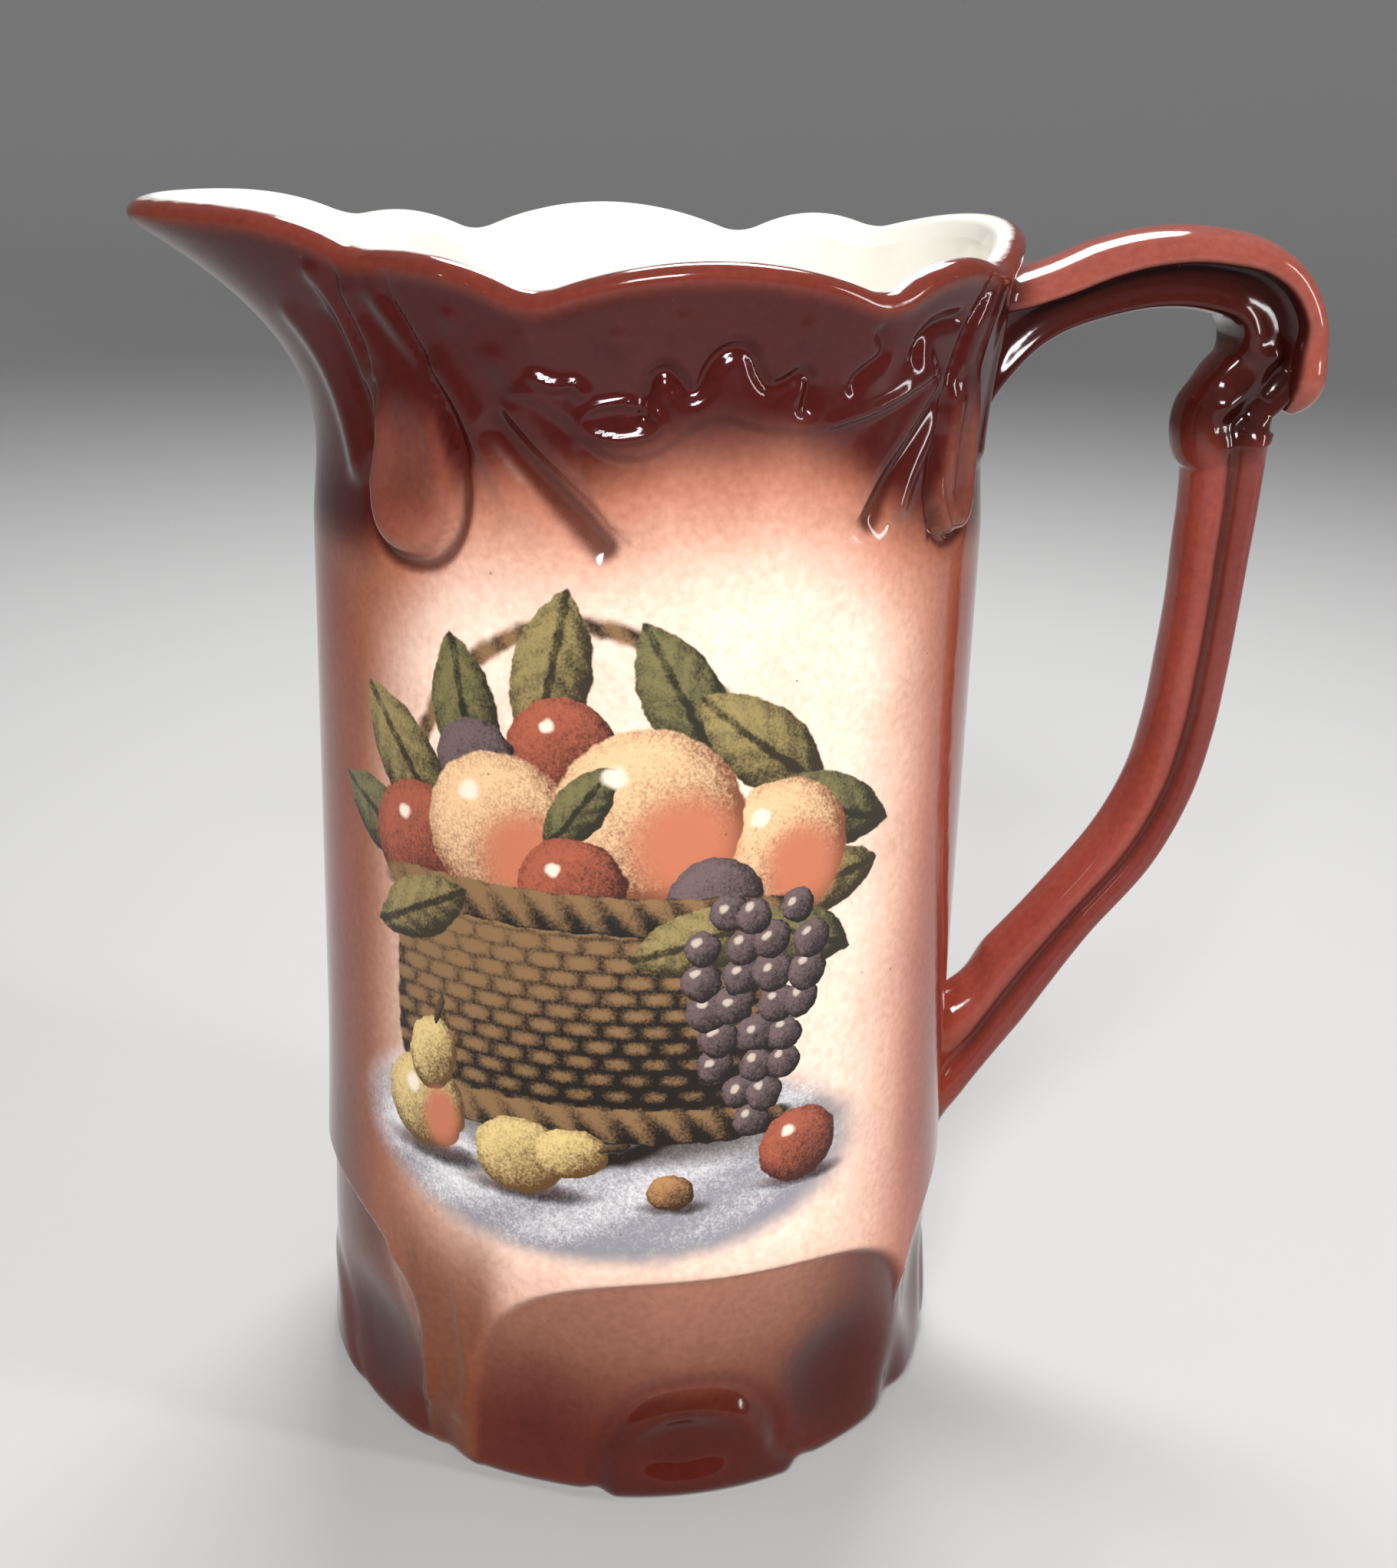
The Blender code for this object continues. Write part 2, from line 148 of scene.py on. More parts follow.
def smooth_step(share):
    """0 below 0, 1 above 1, and 3s^2 - 2s^3 between."""
    share = np.clip(share, 0.0, 1.0)
    return share * share * (3.0 - 2.0 * share)


def away_from_handle(turn):
    """The turn from the handle in degrees, 0 to 180, of an angle in radians measured from the handle."""
    return np.degrees(np.abs((turn + math.pi) % (2.0 * math.pi) - math.pi))


# %% [markdown]
# ## The rim, the spout and the plain wall
#
# The rim rises and falls in arches, and each arch is part of a parabola between a crest and a dip. The
# mould has no sharp cusps, so the arches are averaged over a few degrees. The spout is the same rim
# drawn outwards by a raised cosine, which has no corner where the spout begins.

# %% Plain wall
def arch_height(away):
    """Crest height minus (crest - dip) times the square of the way from the crest to the dip."""
    height = np.full_like(away, BODY_HEIGHT)
    for crest in range(0, len(RIM_TURNS), 2):
        top = RIM_RISES[crest]
        for dip in (crest - 1, crest + 1):
            if not 0 <= dip < len(RIM_TURNS):
                continue
            way = (away - RIM_TURNS[crest]) / (RIM_TURNS[dip] - RIM_TURNS[crest])
            arch = BODY_HEIGHT + top - (top - RIM_RISES[dip]) * way ** 2
            height = np.where((way >= 0.0) & (way <= 1.0), arch, height)
    return height


def rim_height(away):
    """The arches averaged over eight places within four degrees either way."""
    spread = [180.0 - np.abs(180.0 - np.abs(away + offset)) for offset in np.linspace(-3.5, 3.5, 8)]
    return sum(arch_height(near) for near in spread) / len(spread)


def rim_radius(away):
    """RIM_RADIUS plus the spout's reach times (a raised cosine) to the power 1.3."""
    off = np.clip((180.0 - away) / SPOUT_SPREAD, 0.0, 1.0)
    return RIM_RADIUS + (SPOUT_REACH - RIM_RADIUS) * (0.5 + 0.5 * np.cos(math.pi * off)) ** 1.3


def flare_share(climb):
    """(climb / 0.915)^2.2, blended into 1 just under the rim, so that the collar rolls over."""
    opened = (climb / 0.915) ** 2.2
    blend = np.clip(0.5 + 0.5 * (1.0 - opened) / 0.12, 0.0, 1.0)
    return opened * blend + (1.0 - blend) - 0.12 * blend * (1.0 - blend)


def plain_radius(height, away):
    """A straight taper to the shoulder, a smooth step in to the neck, and the flare out to the rim."""
    waist = BODY_HEIGHT - COLLAR_HEIGHT
    shoulder = waist - SHOULDER_DROP
    wall = BASE_RADIUS + (SHOULDER_RADIUS - BASE_RADIUS) * np.clip(height / shoulder, 0.0, 1.0)
    wall = wall + (NECK_RADIUS - SHOULDER_RADIUS) * smooth_step((height - shoulder) / SHOULDER_DROP)
    climb = np.clip((height - waist) / (rim_height(away) - waist), 0.0, 1.0)
    return wall + (rim_radius(away) - NECK_RADIUS) * flare_share(climb)


print("rim heights at handle, front and spout", rim_height(np.array([0.0, 90.0, 180.0])).round(1))

# %% [markdown]
# ## Carving along a path
#
# Most of the collar's relief is lines: creases, grooves and a scroll. On the real mould each line was cut
# with a gouge that was drawn along a path. The same is done here on the unrolled wall: a smooth curve
# goes through a few points, and the height at a place depends on how far it lies from the curve and on
# which side. A line that falls softly on one side and steeply on the other is a crease.

# %% Path tools
def smooth_path(stations, steps):
    """A Catmull-Rom curve through the stations, with the given number of steps between two of them."""
    rows = np.array(stations, dtype=float)
    padded = np.vstack([2.0 * rows[0] - rows[1], rows, 2.0 * rows[-1] - rows[-2]])
    share = (np.arange(steps) / steps)[:, None]
    spans = [0.5 * (2.0 * b + (c - a) * share + (2.0 * a - 5.0 * b + 4.0 * c - d) * share ** 2
                    + (3.0 * b - a - 3.0 * c + d) * share ** 3)
             for a, b, c, d in zip(padded, padded[1:], padded[2:], padded[3:])]
    return np.vstack(spans + [rows[-1:]])


def off_path(x, y, path):
    """Distance from a path with the sign of its side, and the share of the way along it, at each place.

    For each straight run the foot of the perpendicular is clipped to the run, and the nearest run wins.
    """
    runs = np.hypot(*np.diff(path, axis=0).T)
    done = np.concatenate([[0.0], np.cumsum(runs)])
    nearest = np.full_like(x, 1e9)
    signed = np.full_like(x, 1e9)
    way = np.zeros_like(x)
    for start, end, run, before in zip(path, path[1:], runs, done):
        along = (end - start) / run
        share = np.clip((x - start[0]) * along[0] + (y - start[1]) * along[1], 0.0, run)
        off_x = x - start[0] - share * along[0]
        off_y = y - start[1] - share * along[1]
        distance = np.hypot(off_x, off_y)
        nearer = distance < nearest
        nearest = np.where(nearer, distance, nearest)
        side = np.where(along[0] * off_y - along[1] * off_x < 0.0, -1.0, 1.0)
        signed = np.where(nearer, side * distance, signed)
        way = np.where(nearer, (before + share) / done[-1], way)
    return signed, way


def carved_line(away, below, line):
    """rise * exp(-(d / spread)^2) with its own spread on each side, less a hollow beside it."""
    path = smooth_path(line["path"], 6) * (DEGREE, 1.0)
    signed, way = off_path(away * DEGREE, below, path)
    plus, minus = line["spread"]
    fade = line.get("ends", 0.12)
    ends = smooth_step(way / fade) * smooth_step((1.0 - way) / fade)
    relief = line["rise"] * np.exp(-(signed / np.where(signed > 0.0, plus, minus)) ** 2)
    if "hollow" in line:
        depth, middle, width = line["hollow"]
        relief = relief - depth * np.exp(-((signed - middle) / width) ** 2)
    return relief * ends


# %% [markdown]
# ## The collar's relief
#
# The collar carries a band like pulled drapery: two pendant drops whose tails run up to the rim, a crisp
# crease on each side of the front, a scrolled hem between them, and a wandering groove above the hem.
# The paths are given as turns from the handle and depths below the front crest. A positive rise stands
# proud, a negative one is a groove. The spread is told for each side, a hollow by its depth, its middle
# and its width, and ends is the share of a line's length over which it fades in and out.

# %% Collar
COLLAR_LINES = (
    dict(path=((121.7, 16.6), (115.9, 21.7), (108.3, 27.2), (100.4, 33.9)), rise=1.0, spread=(4.5, 0.8),
         hollow=(0.9, -3.2, 2.2)),
    dict(path=((110.6, 20.0), (108.9, 21.8), (107.0, 27.0), (104.0, 32.0)), rise=0.35, spread=(0.5, 0.8)),
    dict(path=((134.0, 12.0), (127.5, 19.0), (121.0, 27.5), (118.0, 33.0)), rise=0.8, spread=(2.4, 2.0)),
    dict(path=((146.5, 6.0), (140.5, 11.0), (135.0, 15.5), (131.0, 20.5), (129.0, 27.0)), rise=-0.9,
         spread=(1.7, 1.7)),
    dict(path=((154.0, 2.5), (150.6, 7.3), (148.4, 12.0), (145.5, 18.0)), rise=1.0, spread=(1.7, 1.7)),
    dict(path=((155.0, 8.0), (151.4, 15.0), (148.9, 20.0), (147.6, 26.0)), rise=-0.8, spread=(1.5, 1.5)),
    dict(path=((121.7, 16.8), (116.8, 16.0), (112.0, 18.0), (108.0, 21.0), (104.0, 22.6), (99.5, 22.4),
               (95.5, 20.4), (92.0, 18.4), (88.0, 17.9), (82.0, 19.3), (74.0, 19.6), (68.0, 18.8),
               (63.0, 17.6), (57.5, 15.8), (51.0, 13.0)), rise=0.7, spread=(5.0, 0.55), ends=0.05),
    dict(path=((109.3, 18.6), (107.0, 17.0), (102.0, 16.6), (98.0, 18.2), (98.9, 20.0), (103.0, 20.9),
               (107.4, 20.2), (109.3, 18.6)), rise=0.5, spread=(0.45, 0.45), ends=0.01),
    dict(path=((117.0, 13.4), (113.0, 14.8), (110.0, 14.6), (108.0, 16.4)), rise=0.6, spread=(0.6, 0.6)),
    dict(path=((100.4, 19.6), (99.9, 16.4), (99.0, 13.6), (97.2, 12.7), (95.4, 13.7), (93.9, 15.2),
               (92.3, 14.6), (91.2, 12.4), (89.4, 10.6), (87.0, 10.0), (85.0, 11.0), (83.9, 13.0),
               (82.2, 14.6), (79.8, 14.2), (77.6, 13.2), (76.0, 13.8), (76.0, 15.8), (77.0, 18.8)),
         rise=-0.95, spread=(0.95, 0.95), ends=0.04),
    dict(path=((67.7, 16.0), (68.9, 14.4), (66.9, 12.9), (64.6, 11.6), (64.4, 10.0), (66.6, 7.6)),
         rise=-0.7, spread=(0.8, 0.8)),
    dict(path=((58.2, 14.0), (57.8, 10.6), (55.3, 8.8), (51.4, 8.0), (46.4, 8.0)), rise=-0.8,
         spread=(0.9, 0.9)),
    dict(path=((49.8, 14.1), (56.8, 20.9), (62.5, 26.1), (67.6, 32.8)), rise=1.0, spread=(0.8, 4.5),
         hollow=(0.9, 3.0, 2.0)),
    dict(path=((45.9, 15.5), (50.2, 21.1), (55.2, 27.0), (58.0, 33.0)), rise=0.8, spread=(1.8, 2.0)),
    dict(path=((45.4, 14.0), (46.6, 20.9), (47.2, 27.0), (44.5, 33.5), (39.0, 37.0)), rise=-0.7,
         spread=(0.7, 0.7)),
    dict(path=((46.4, 32.2), (49.4, 37.0)), rise=-0.5, spread=(0.6, 0.6), ends=0.3),
    dict(path=((73.8, 19.6), (68.7, 18.4), (63.9, 17.6), (57.0, 15.2)), rise=0.35, spread=(0.6, 0.6)),
    dict(path=((163.0, 8.0), (157.0, 18.0), (151.0, 31.0)), rise=0.8, spread=(2.2, 2.2)),
    dict(path=((20.0, 8.0), (23.0, 18.0), (26.0, 30.0)), rise=0.6, spread=(2.2, 2.2)),
)
# Low round bosses: turn, depth, radius and rise
BOSSES = ((95.4, 7.4, 2.0, 0.45), (77.6, 8.2, 2.0, 0.45), (122.2, 12.6, 2.0, 0.5), (117.0, 9.6, 1.8, 0.4),
          (104.0, 9.5, 1.8, 0.4), (94.9, 29.7, 3.4, 0.2), (81.2, 30.5, 3.4, 0.2), (128.5, 8.0, 1.4, 0.4))
# Pendant drops, each told from its tip upwards: turn, depth and half width in degrees
DROPS = (
    dict(path=((138.2, 37.6, 9.0), (138.2, 29.0, 9.0), (137.4, 24.0, 8.0), (138.0, 18.0, 6.4),
               (140.5, 12.5, 5.2), (144.5, 6.0, 4.4)), raised=2.6),
    dict(path=((42.0, 36.0, 6.4), (42.0, 29.0, 6.4), (42.2, 23.0, 5.6), (42.0, 16.0, 5.0),
               (40.0, 9.0, 4.6), (37.0, 4.5, 4.2)), raised=2.4),
)


def drop_relief(away, below):
    """A flat-topped swell, the root of 1 - edge^4, with a rounded rim and a shallow trough inside.

    edge is 0 along the drop's middle and 1 on its outline. Below the widest place the outline closes as
    a superellipse of power 2.4.
    """
    relief = np.zeros_like(away)
    for drop in DROPS:
        tip = drop["path"][0][1]
        widest = drop["path"][1][1]
        turns, depths, halves = np.array(drop["path"][:0:-1]).T
        across = np.abs(away - np.interp(below, depths, turns)) / np.interp(below, depths, halves)
        down = np.clip((below - widest) / (tip - widest), 0.0, None)
        edge = (across ** 2.4 + down ** 2.4) ** (1.0 / 2.4)
        swell = np.sqrt(np.clip(1.0 - edge ** 4, 0.0, 1.0))
        lower = smooth_step((below - 14.0) / 8.0)
        trough = 1.0 - 0.5 * lower * np.exp(-(edge / 0.62) ** 4)
        tail = smooth_step(below / 9.0) * (0.45 + 0.55 * lower)
        groove = 0.3 * np.exp(-((edge - 1.16) / 0.13) ** 2)
        relief = relief + drop["raised"] * tail * (swell * trough - groove)
    return relief


def collar_relief(away, below):
    """The sum of the drops, the carved lines and the bosses, only in the upper part of the wall."""
    relief = drop_relief(away, below)
    for line in COLLAR_LINES:
        relief = relief + carved_line(away, below, line)
    for turn, depth, radius, rise in BOSSES:
        far = ((away - turn) * DEGREE / radius) ** 2 + ((below - depth) / radius) ** 2
        relief = relief + rise * np.exp(-far)
    return relief


print(len(COLLAR_LINES), "carved lines,", len(BOSSES), "bosses and", len(DROPS), "drops on each half")

# %% [markdown]
# ## The foot's petals
#
# Round the foot the mould has broad petals, pressed in with a crisp upper edge, that run back out to the
# table. Each has deeper hollows at its sides and a small raised lobe at its foot with a scoop of its own.
# Between two petals the foot has a notch, and towards the spout two raised lines run down as a stem.
# A petal's outline is a superellipse, a curve between an ellipse and a rectangle, and how far a place is
# inside it sets the depth.

# %% Foot
PETAL_HEIGHT = 36.8
PETAL_MIDDLE = 12.0
PETAL_HALF_TURN = 43.2
PETAL_DEPTH = 1.2
SCOOP_DEPTH = 2.2
CAP_HEIGHT = 17.0
CAP_HALF_TURN = 15.0
CAP_RAISE = 1.3
NOTCH_DEPTH = 1.4
FOOT_SWELL = 0.8
# Middle turn, its lobe's middle turn, the lobe's share of CAP_RAISE, and its hollows, each with its turn,
# height, half width in degrees, half height and share of SCOOP_DEPTH
PETALS = (
    (0.0, 0.0, 0.4, ((26.0, 16.0, 11.0, 10.0, 1.0),)),
    (83.4, 88.0, 1.0, ((60.0, 13.5, 10.5, 9.5, 1.15), (114.0, 12.0, 9.0, 12.0, 0.25))),
    (180.0, 180.0, 0.2, ((153.0, 13.0, 13.0, 9.0, 1.0),)),
)
NOTCH_TURNS = (41.0, 134.0)
STEM_LINES = (
    dict(path=((146.3, 139.4), (141.4, 148.0), (136.0, 158.0), (137.5, 166.0)), rise=0.6,
         spread=(1.2, 2.2)),
    dict(path=((129.8, 140.0), (128.0, 152.0), (127.4, 159.0), (130.5, 166.0)), rise=0.5,
         spread=(1.6, 1.0)),
)


def superellipse(across, up, power=3.0):
    """(|across|^power + |up|^power)^(1/power): 1 on the edge, less inside."""
    return (np.abs(across) ** power + np.abs(up) ** power) ** (1.0 / power)


def petal_mask(away, height):
    """1 inside any petal, 0 outside, with a crisp upper edge."""
    mask = np.zeros_like(away)
    up = np.maximum((height - PETAL_MIDDLE) / (PETAL_HEIGHT - PETAL_MIDDLE), 0.0)
    for middle, *_ in PETALS:
        inside = smooth_step((1.02 - superellipse((away - middle) / PETAL_HALF_TURN, up)) / 0.06)
        mask = np.maximum(mask, inside)
    return mask


def lobe_edge(away, height, lobe):
    """A superellipse that is 1 on a lobe's outline; towards the handle the lobe widens at the table."""
    half_turn = CAP_HALF_TURN * (1.0 + 0.35 * (away < lobe) * smooth_step((7.0 - height) / 7.0))
    return superellipse((away - lobe) / half_turn, height / CAP_HEIGHT, 2.5)


def foot_relief(away, height):
    """Swell of the foot, less petals and hollows, plus lobes, less notches, plus the stem's lines."""
    rise = height / PETAL_HEIGHT
    relief = FOOT_SWELL * smooth_step(1.6 - rise) * (0.3 + 0.7 * smooth_step(3.0 * rise))
    inside = petal_mask(away, height)
    relief = relief - PETAL_DEPTH * inside * (0.35 + 0.65 * smooth_step(rise / 0.6))
    for middle, lobe, lobe_share, hollows in PETALS:
        for turn, level, half_turn, half_height, share in hollows:
            far = ((away - turn) / half_turn) ** 2 + ((height - level) / half_height) ** 2
            relief = relief - SCOOP_DEPTH * share * inside * np.exp(-far ** 1.3)
        edge = lobe_edge(away, height, lobe)
        raised = smooth_step((1.07 - edge) / 0.22)
        scoop = superellipse((away - lobe - 1.5) / (0.76 * CAP_HALF_TURN), (height - 8.8) / 6.8, 2.1)
        hollow = smooth_step((1.10 - scoop) / 0.75) * smooth_step((height - 1.5) / 6.0)
        relief = relief + CAP_RAISE * lobe_share * (raised - 1.35 * hollow)
        relief = relief - 0.55 * lobe_share * np.exp(-((edge - 1.13) / 0.10) ** 2)
    for middle in NOTCH_TURNS:
        notch = np.exp(-((away - middle) / 4.5) ** 2) * smooth_step(1.0 - height / CAP_HEIGHT)
        relief = relief - NOTCH_DEPTH * notch
    for line in STEM_LINES:
        relief = relief + carved_line(away, BODY_HEIGHT - height, line)
    return relief


def wall_relief(away, height):
    """Foot relief below, collar relief above, and a low rounded moulding along the rim."""
    relief = np.zeros_like(away)
    foot = height < PETAL_HEIGHT * 1.7
    relief[foot] = foot_relief(away[foot], height[foot])
    collar = height > BODY_HEIGHT - 45.0
    relief[collar] = collar_relief(away[collar], BODY_HEIGHT - height[collar])
    under_rim = rim_height(away) - height
    relief = relief * (1.0 - smooth_step((3.5 - under_rim) / 3.0))
    return relief + 0.35 * np.exp(-((under_rim - 2.0) / 1.2) ** 2)


def outer_radius(turn, height):
    """Plain radius plus relief, less the rounding of the foot: a quarter circle of FOOT_ROUND."""
    away = away_from_handle(turn)
    rounding = np.clip(1.0 - height / FOOT_ROUND, 0.0, 1.0)
    foot = FOOT_ROUND * (1.0 - np.sqrt(1.0 - rounding ** 2))
    return plain_radius(height, away) - foot + wall_relief(away, height)


# %% [markdown]
# ## The body as one grid
#
# A potter would see a wall with an outside and an inside. As a surface it is one sheet that starts in the
# middle of the underside, climbs the outside, turns over the lip and runs down the inside to the middle
# of the floor. So the body is a single grid: columns go round, rows follow that way. Columns stand
# closer together on the front, where the camera is, and rows stand closer where there is relief.

# %% Rows and columns
COLUMNS = 452
LIP_STEPS = 9
CORNER_STEPS = 8
# Shares of the rim's height for the rows of the inside, closer together where the wall flares
INSIDE_CLIMBS = (0.975, 0.96, 0.94, 0.92, 0.90, 0.88, 0.86, 0.84, 0.82, 0.75, 0.6, 0.3)
TOP_CLIMB = 0.99        # where the outside ends and the lip begins


def column_turns():
    """Turns t - 0.4 sin t about the front, so that columns crowd together there."""
    even = (np.arange(COLUMNS) + 0.5) * 2.0 * math.pi / COLUMNS - math.pi
    return even - 0.4 * np.sin(even) - math.pi / 2.0


def place(radius, turn, height):
    """Cylinder coordinates to points: (r cos t, r sin t, h)."""
    return np.stack([radius * np.cos(turn), radius * np.sin(turn), height + 0.0 * radius], axis=-1)


def inner_frame(turn, climb):
    """Point of the inner face, upward and inward directions: the plain face moved in by WALL."""
    step = 0.002

    def plain(at_turn, at_climb):
        away = away_from_handle(at_turn)
        height = at_climb * rim_height(away)
        return place(plain_radius(height, away), at_turn, height)

    upward = plain(turn, climb + step) - plain(turn, climb - step)
    sideways = plain(turn + step, climb) - plain(turn - step, climb)
    inward = np.cross(upward, sideways)
    inward /= np.linalg.norm(inward, axis=-1, keepdims=True)
    upward /= np.linalg.norm(upward, axis=-1, keepdims=True)
    return plain(turn, climb) + WALL * inward, upward, inward


def outside_climbs():
    """Shares of the rim's height, half a millimetre apart in the relief and far apart on the plain wall."""
    foot = np.linspace(0.4, 42.0, 80)
    wall = np.linspace(45.0, 129.0, 13)
    collar = np.linspace(130.0, TOP_CLIMB * BODY_HEIGHT, 84)
    return np.concatenate([foot, wall, collar]) / BODY_HEIGHT


def body_points(turn):
    """All rows of the grid as one array of rows, columns and 3, with what each row is."""
    away = away_from_handle(turn)
    zero = np.zeros_like(turn)
    points = [place(share * (outer_radius(turn, zero) - 0.2), turn, zero) for share in (0.5, 0.8, 1.0)]
    kinds = ["underside"] * len(points)
    for climb in outside_climbs():
        height = climb * rim_height(away)
        points.append(place(outer_radius(turn, height), turn, height))
        kinds.append("outside")
    inside, upward, _ = inner_frame(turn, TOP_CLIMB + zero)
    outer_edge = points[-1]
    for share in np.arange(1, LIP_STEPS + 1) / LIP_STEPS:
        bend = math.pi * share
        across = 0.5 - 0.5 * math.cos(bend)
        points.append(outer_edge + across * (inside - outer_edge) + LIP_RISE * math.sin(bend) * upward)
        kinds.append("lip")
    for climb in INSIDE_CLIMBS:
        points.append(inner_frame(turn, climb + zero)[0])
        kinds.append("inside")
    corner_radius = plain_radius(FLOOR + FLOOR_ROUND + zero, away) - WALL
    for bend in np.linspace(math.pi / 2.0, 0.0, CORNER_STEPS):
        radius = corner_radius - FLOOR_ROUND * (1.0 - math.sin(bend))
        points.append(place(radius, turn, FLOOR + FLOOR_ROUND * (1.0 - math.cos(bend)) + zero))
        kinds.append("inside")
    points.append(place(0.5 * (corner_radius - FLOOR_ROUND), turn, FLOOR + zero))
    kinds.append("inside")
    return np.stack(points), kinds


# %% [markdown]
# ## From a grid to a mesh
#
# Blender needs the points as one flat list and the faces as rows of corner numbers. Both come straight
# from the grid: a face joins a point to its neighbours to the right and above. The two ends of the tube
# are closed with a fan of triangles round one middle point.

# %% Grid to mesh
def tube_mesh(name, rows, poles):
    """A closed mesh from a grid of rows that go round, with a fan of triangles to a pole at each end."""
    count, around = rows.shape[:2]
    number = np.arange(count * around).reshape(count, around)
    beside = np.roll(number, -1, axis=1)
    quads = np.stack([number[:-1], beside[:-1], beside[1:], number[1:]], axis=-1).reshape(-1, 4)
    bottom = np.stack([beside[0], number[0], np.full(around, count * around)], axis=-1)
    top = np.stack([number[-1], beside[-1], np.full(around, count * around + 1)], axis=-1)
    points = np.vstack([rows.reshape(-1, 3), poles]) * MM
    corners = np.concatenate([quads.ravel(), bottom.ravel(), top.ravel()])
    sizes = np.concatenate([np.full(len(quads), 4), np.full(2 * around, 3)])
    mesh = bpy.data.meshes.new(name)
    mesh.vertices.add(len(points))
    mesh.vertices.foreach_set("co", points.astype(np.float32).ravel())
    mesh.loops.add(len(corners))
    mesh.loops.foreach_set("vertex_index", corners.astype(np.int32))
    mesh.polygons.add(len(sizes))
    mesh.polygons.foreach_set("loop_start", np.concatenate([[0], np.cumsum(sizes)[:-1]]).astype(np.int32))
    mesh.update(calc_edges=True)
    mesh.validate()
    mesh.shade_smooth()
    return mesh


def put(name, mesh):
    """An object at the origin for a finished mesh, riding on the jug's only body in place of its node."""
    made = linked(name, mesh)
    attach(made, "root")
    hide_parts("jug")


def set_values(mesh, name, values):
    """Stores one number for each point as an attribute."""
    kept = mesh.attributes.new(name, "FLOAT", "POINT").data
    kept.foreach_set("value", values.astype(np.float32).ravel())


def set_colours(mesh, name, colours):
    """Stores one colour for each point as an attribute."""
    full = np.column_stack([colours, np.ones(len(colours))])
    kept = mesh.attributes.new(name, "FLOAT_COLOR", "POINT").data
    kept.foreach_set("color", full.astype(np.float32).ravel())


turns = column_turns()
body_rows, row_kinds = body_points(turns)
body_mesh = tube_mesh("jug_body", body_rows, [(0.0, 0.0, 0.0), (0.0, 0.0, FLOOR)])
put("jug_body", body_mesh)
print("body:", len(body_mesh.vertices), "points,", 2 * len(body_rows) * COLUMNS, "triangles")

# %% [markdown]
# ## The handle
#
# The handle rises from under the rim, arches over, rolls into a scroll and runs down to the wall again.
# Its section isn't round: inside the loop there is a narrow rounded rib, outside a wider strap, and a
# groove lies between them. A curve with a bevel object could carry one section, but here the section,
# its thickness and its width all change on the way. So the path is a row of stations, and each says how
# thick and how wide the handle is there.

# %% Handle sizes
HANDLE_SPAN = 45.4
HANDLE_THICKNESS = 10.2
HANDLE_WIDTH = 11.4
# Shares of HANDLE_SPAN out from the wall, of BODY_HEIGHT, of half the thickness and of half the width
HANDLE_STATIONS = (
    (0.000, 0.9077, 1.90, 1.20), (0.084, 0.9256, 1.40, 1.15), (0.158, 0.9394, 1.12, 1.10),
    (0.242, 0.9504, 1.00, 1.06), (0.355, 0.9613, 1.04, 1.06), (0.477, 0.9688, 1.08, 1.08),
    (0.601, 0.9711, 1.12, 1.12), (0.722, 0.9680, 1.16, 1.16), (0.828, 0.9610, 1.22, 1.20),
    (0.914, 0.9463, 1.29, 1.22), (0.970, 0.9251, 1.35, 1.20), (0.985, 0.9012, 1.37, 1.14),
    (0.956, 0.8800, 1.37, 1.08), (0.900, 0.8640, 1.35, 1.06), (0.863, 0.8459, 1.43, 1.12),
    (0.859, 0.8263, 1.37, 1.12), (0.869, 0.8055, 1.14, 1.02), (0.861, 0.7703, 1.07, 1.00),
    (0.854, 0.7305, 1.04, 1.00), (0.848, 0.6867, 1.00, 1.00), (0.833, 0.6307, 1.00, 1.00),
    (0.810, 0.5736, 0.99, 1.00), (0.758, 0.5153, 0.98, 1.00), (0.648, 0.4564, 1.00, 1.00),
    (0.464, 0.3960, 0.98, 0.99), (0.329, 0.3500, 1.14, 0.98), (0.235, 0.3160, 1.46, 1.00),
    (0.126, 0.2760, 1.92, 1.04), (0.000, 0.2424, 2.30, 1.10),
)
CURL_STATIONS = (
    (1.086, 0.9031, 0.61, 1.15), (1.093, 0.8782, 0.65, 1.15), (1.079, 0.8621, 0.50, 0.92),
    (1.062, 0.8517, 0.22, 0.50),
)
# Sections, from the inside of the loop to the outside: shares of the half thickness and half width
GRIP_SECTION = (
    (-1.00, 0.00), (-0.97, 0.30), (-0.86, 0.58), (-0.66, 0.78), (-0.42, 0.85), (-0.20, 0.80),
    (-0.04, 0.74), (0.08, 0.78), (0.20, 0.90), (0.36, 0.99), (0.56, 1.00), (0.75, 0.91),
    (0.90, 0.67), (0.98, 0.34), (1.00, 0.00),
)
ARCH_SECTION = (
    (-1.00, 0.00), (-0.98, 0.40), (-0.92, 0.72), (-0.80, 0.86), (-0.62, 0.84), (-0.36, 0.72),
    (-0.08, 0.64), (0.16, 0.64), (0.36, 0.72), (0.52, 0.80), (0.62, 0.78), (0.70, 0.62),
    (0.76, 0.42), (0.80, 0.20), (0.82, 0.00),
)
STRAP_SECTION = (
    (-1.00, 0.00), (-1.00, 0.50), (-0.98, 0.84), (-0.84, 1.02), (-0.50, 1.07), (-0.10, 1.06),
    (0.30, 0.98), (0.62, 0.79), (0.86, 0.48), (0.97, 0.22), (1.00, 0.00),
)
FILLET = 3.4            # radius of the clay fillet where the handle meets the wall


print("handle:", len(HANDLE_STATIONS), "stations, and", len(CURL_STATIONS), "more for the curl")

# %% [markdown]
# ## Rings along the handle's path
#
# A loft needs a ring of points at every step of its path, in a frame that turns with the path. The ring is
# told in shares of the half thickness, outwards from the loop, and of the half width, across it. Near the
# wall the frame stands upright, and each ring spreads like the clay that was smoothed into the wall.

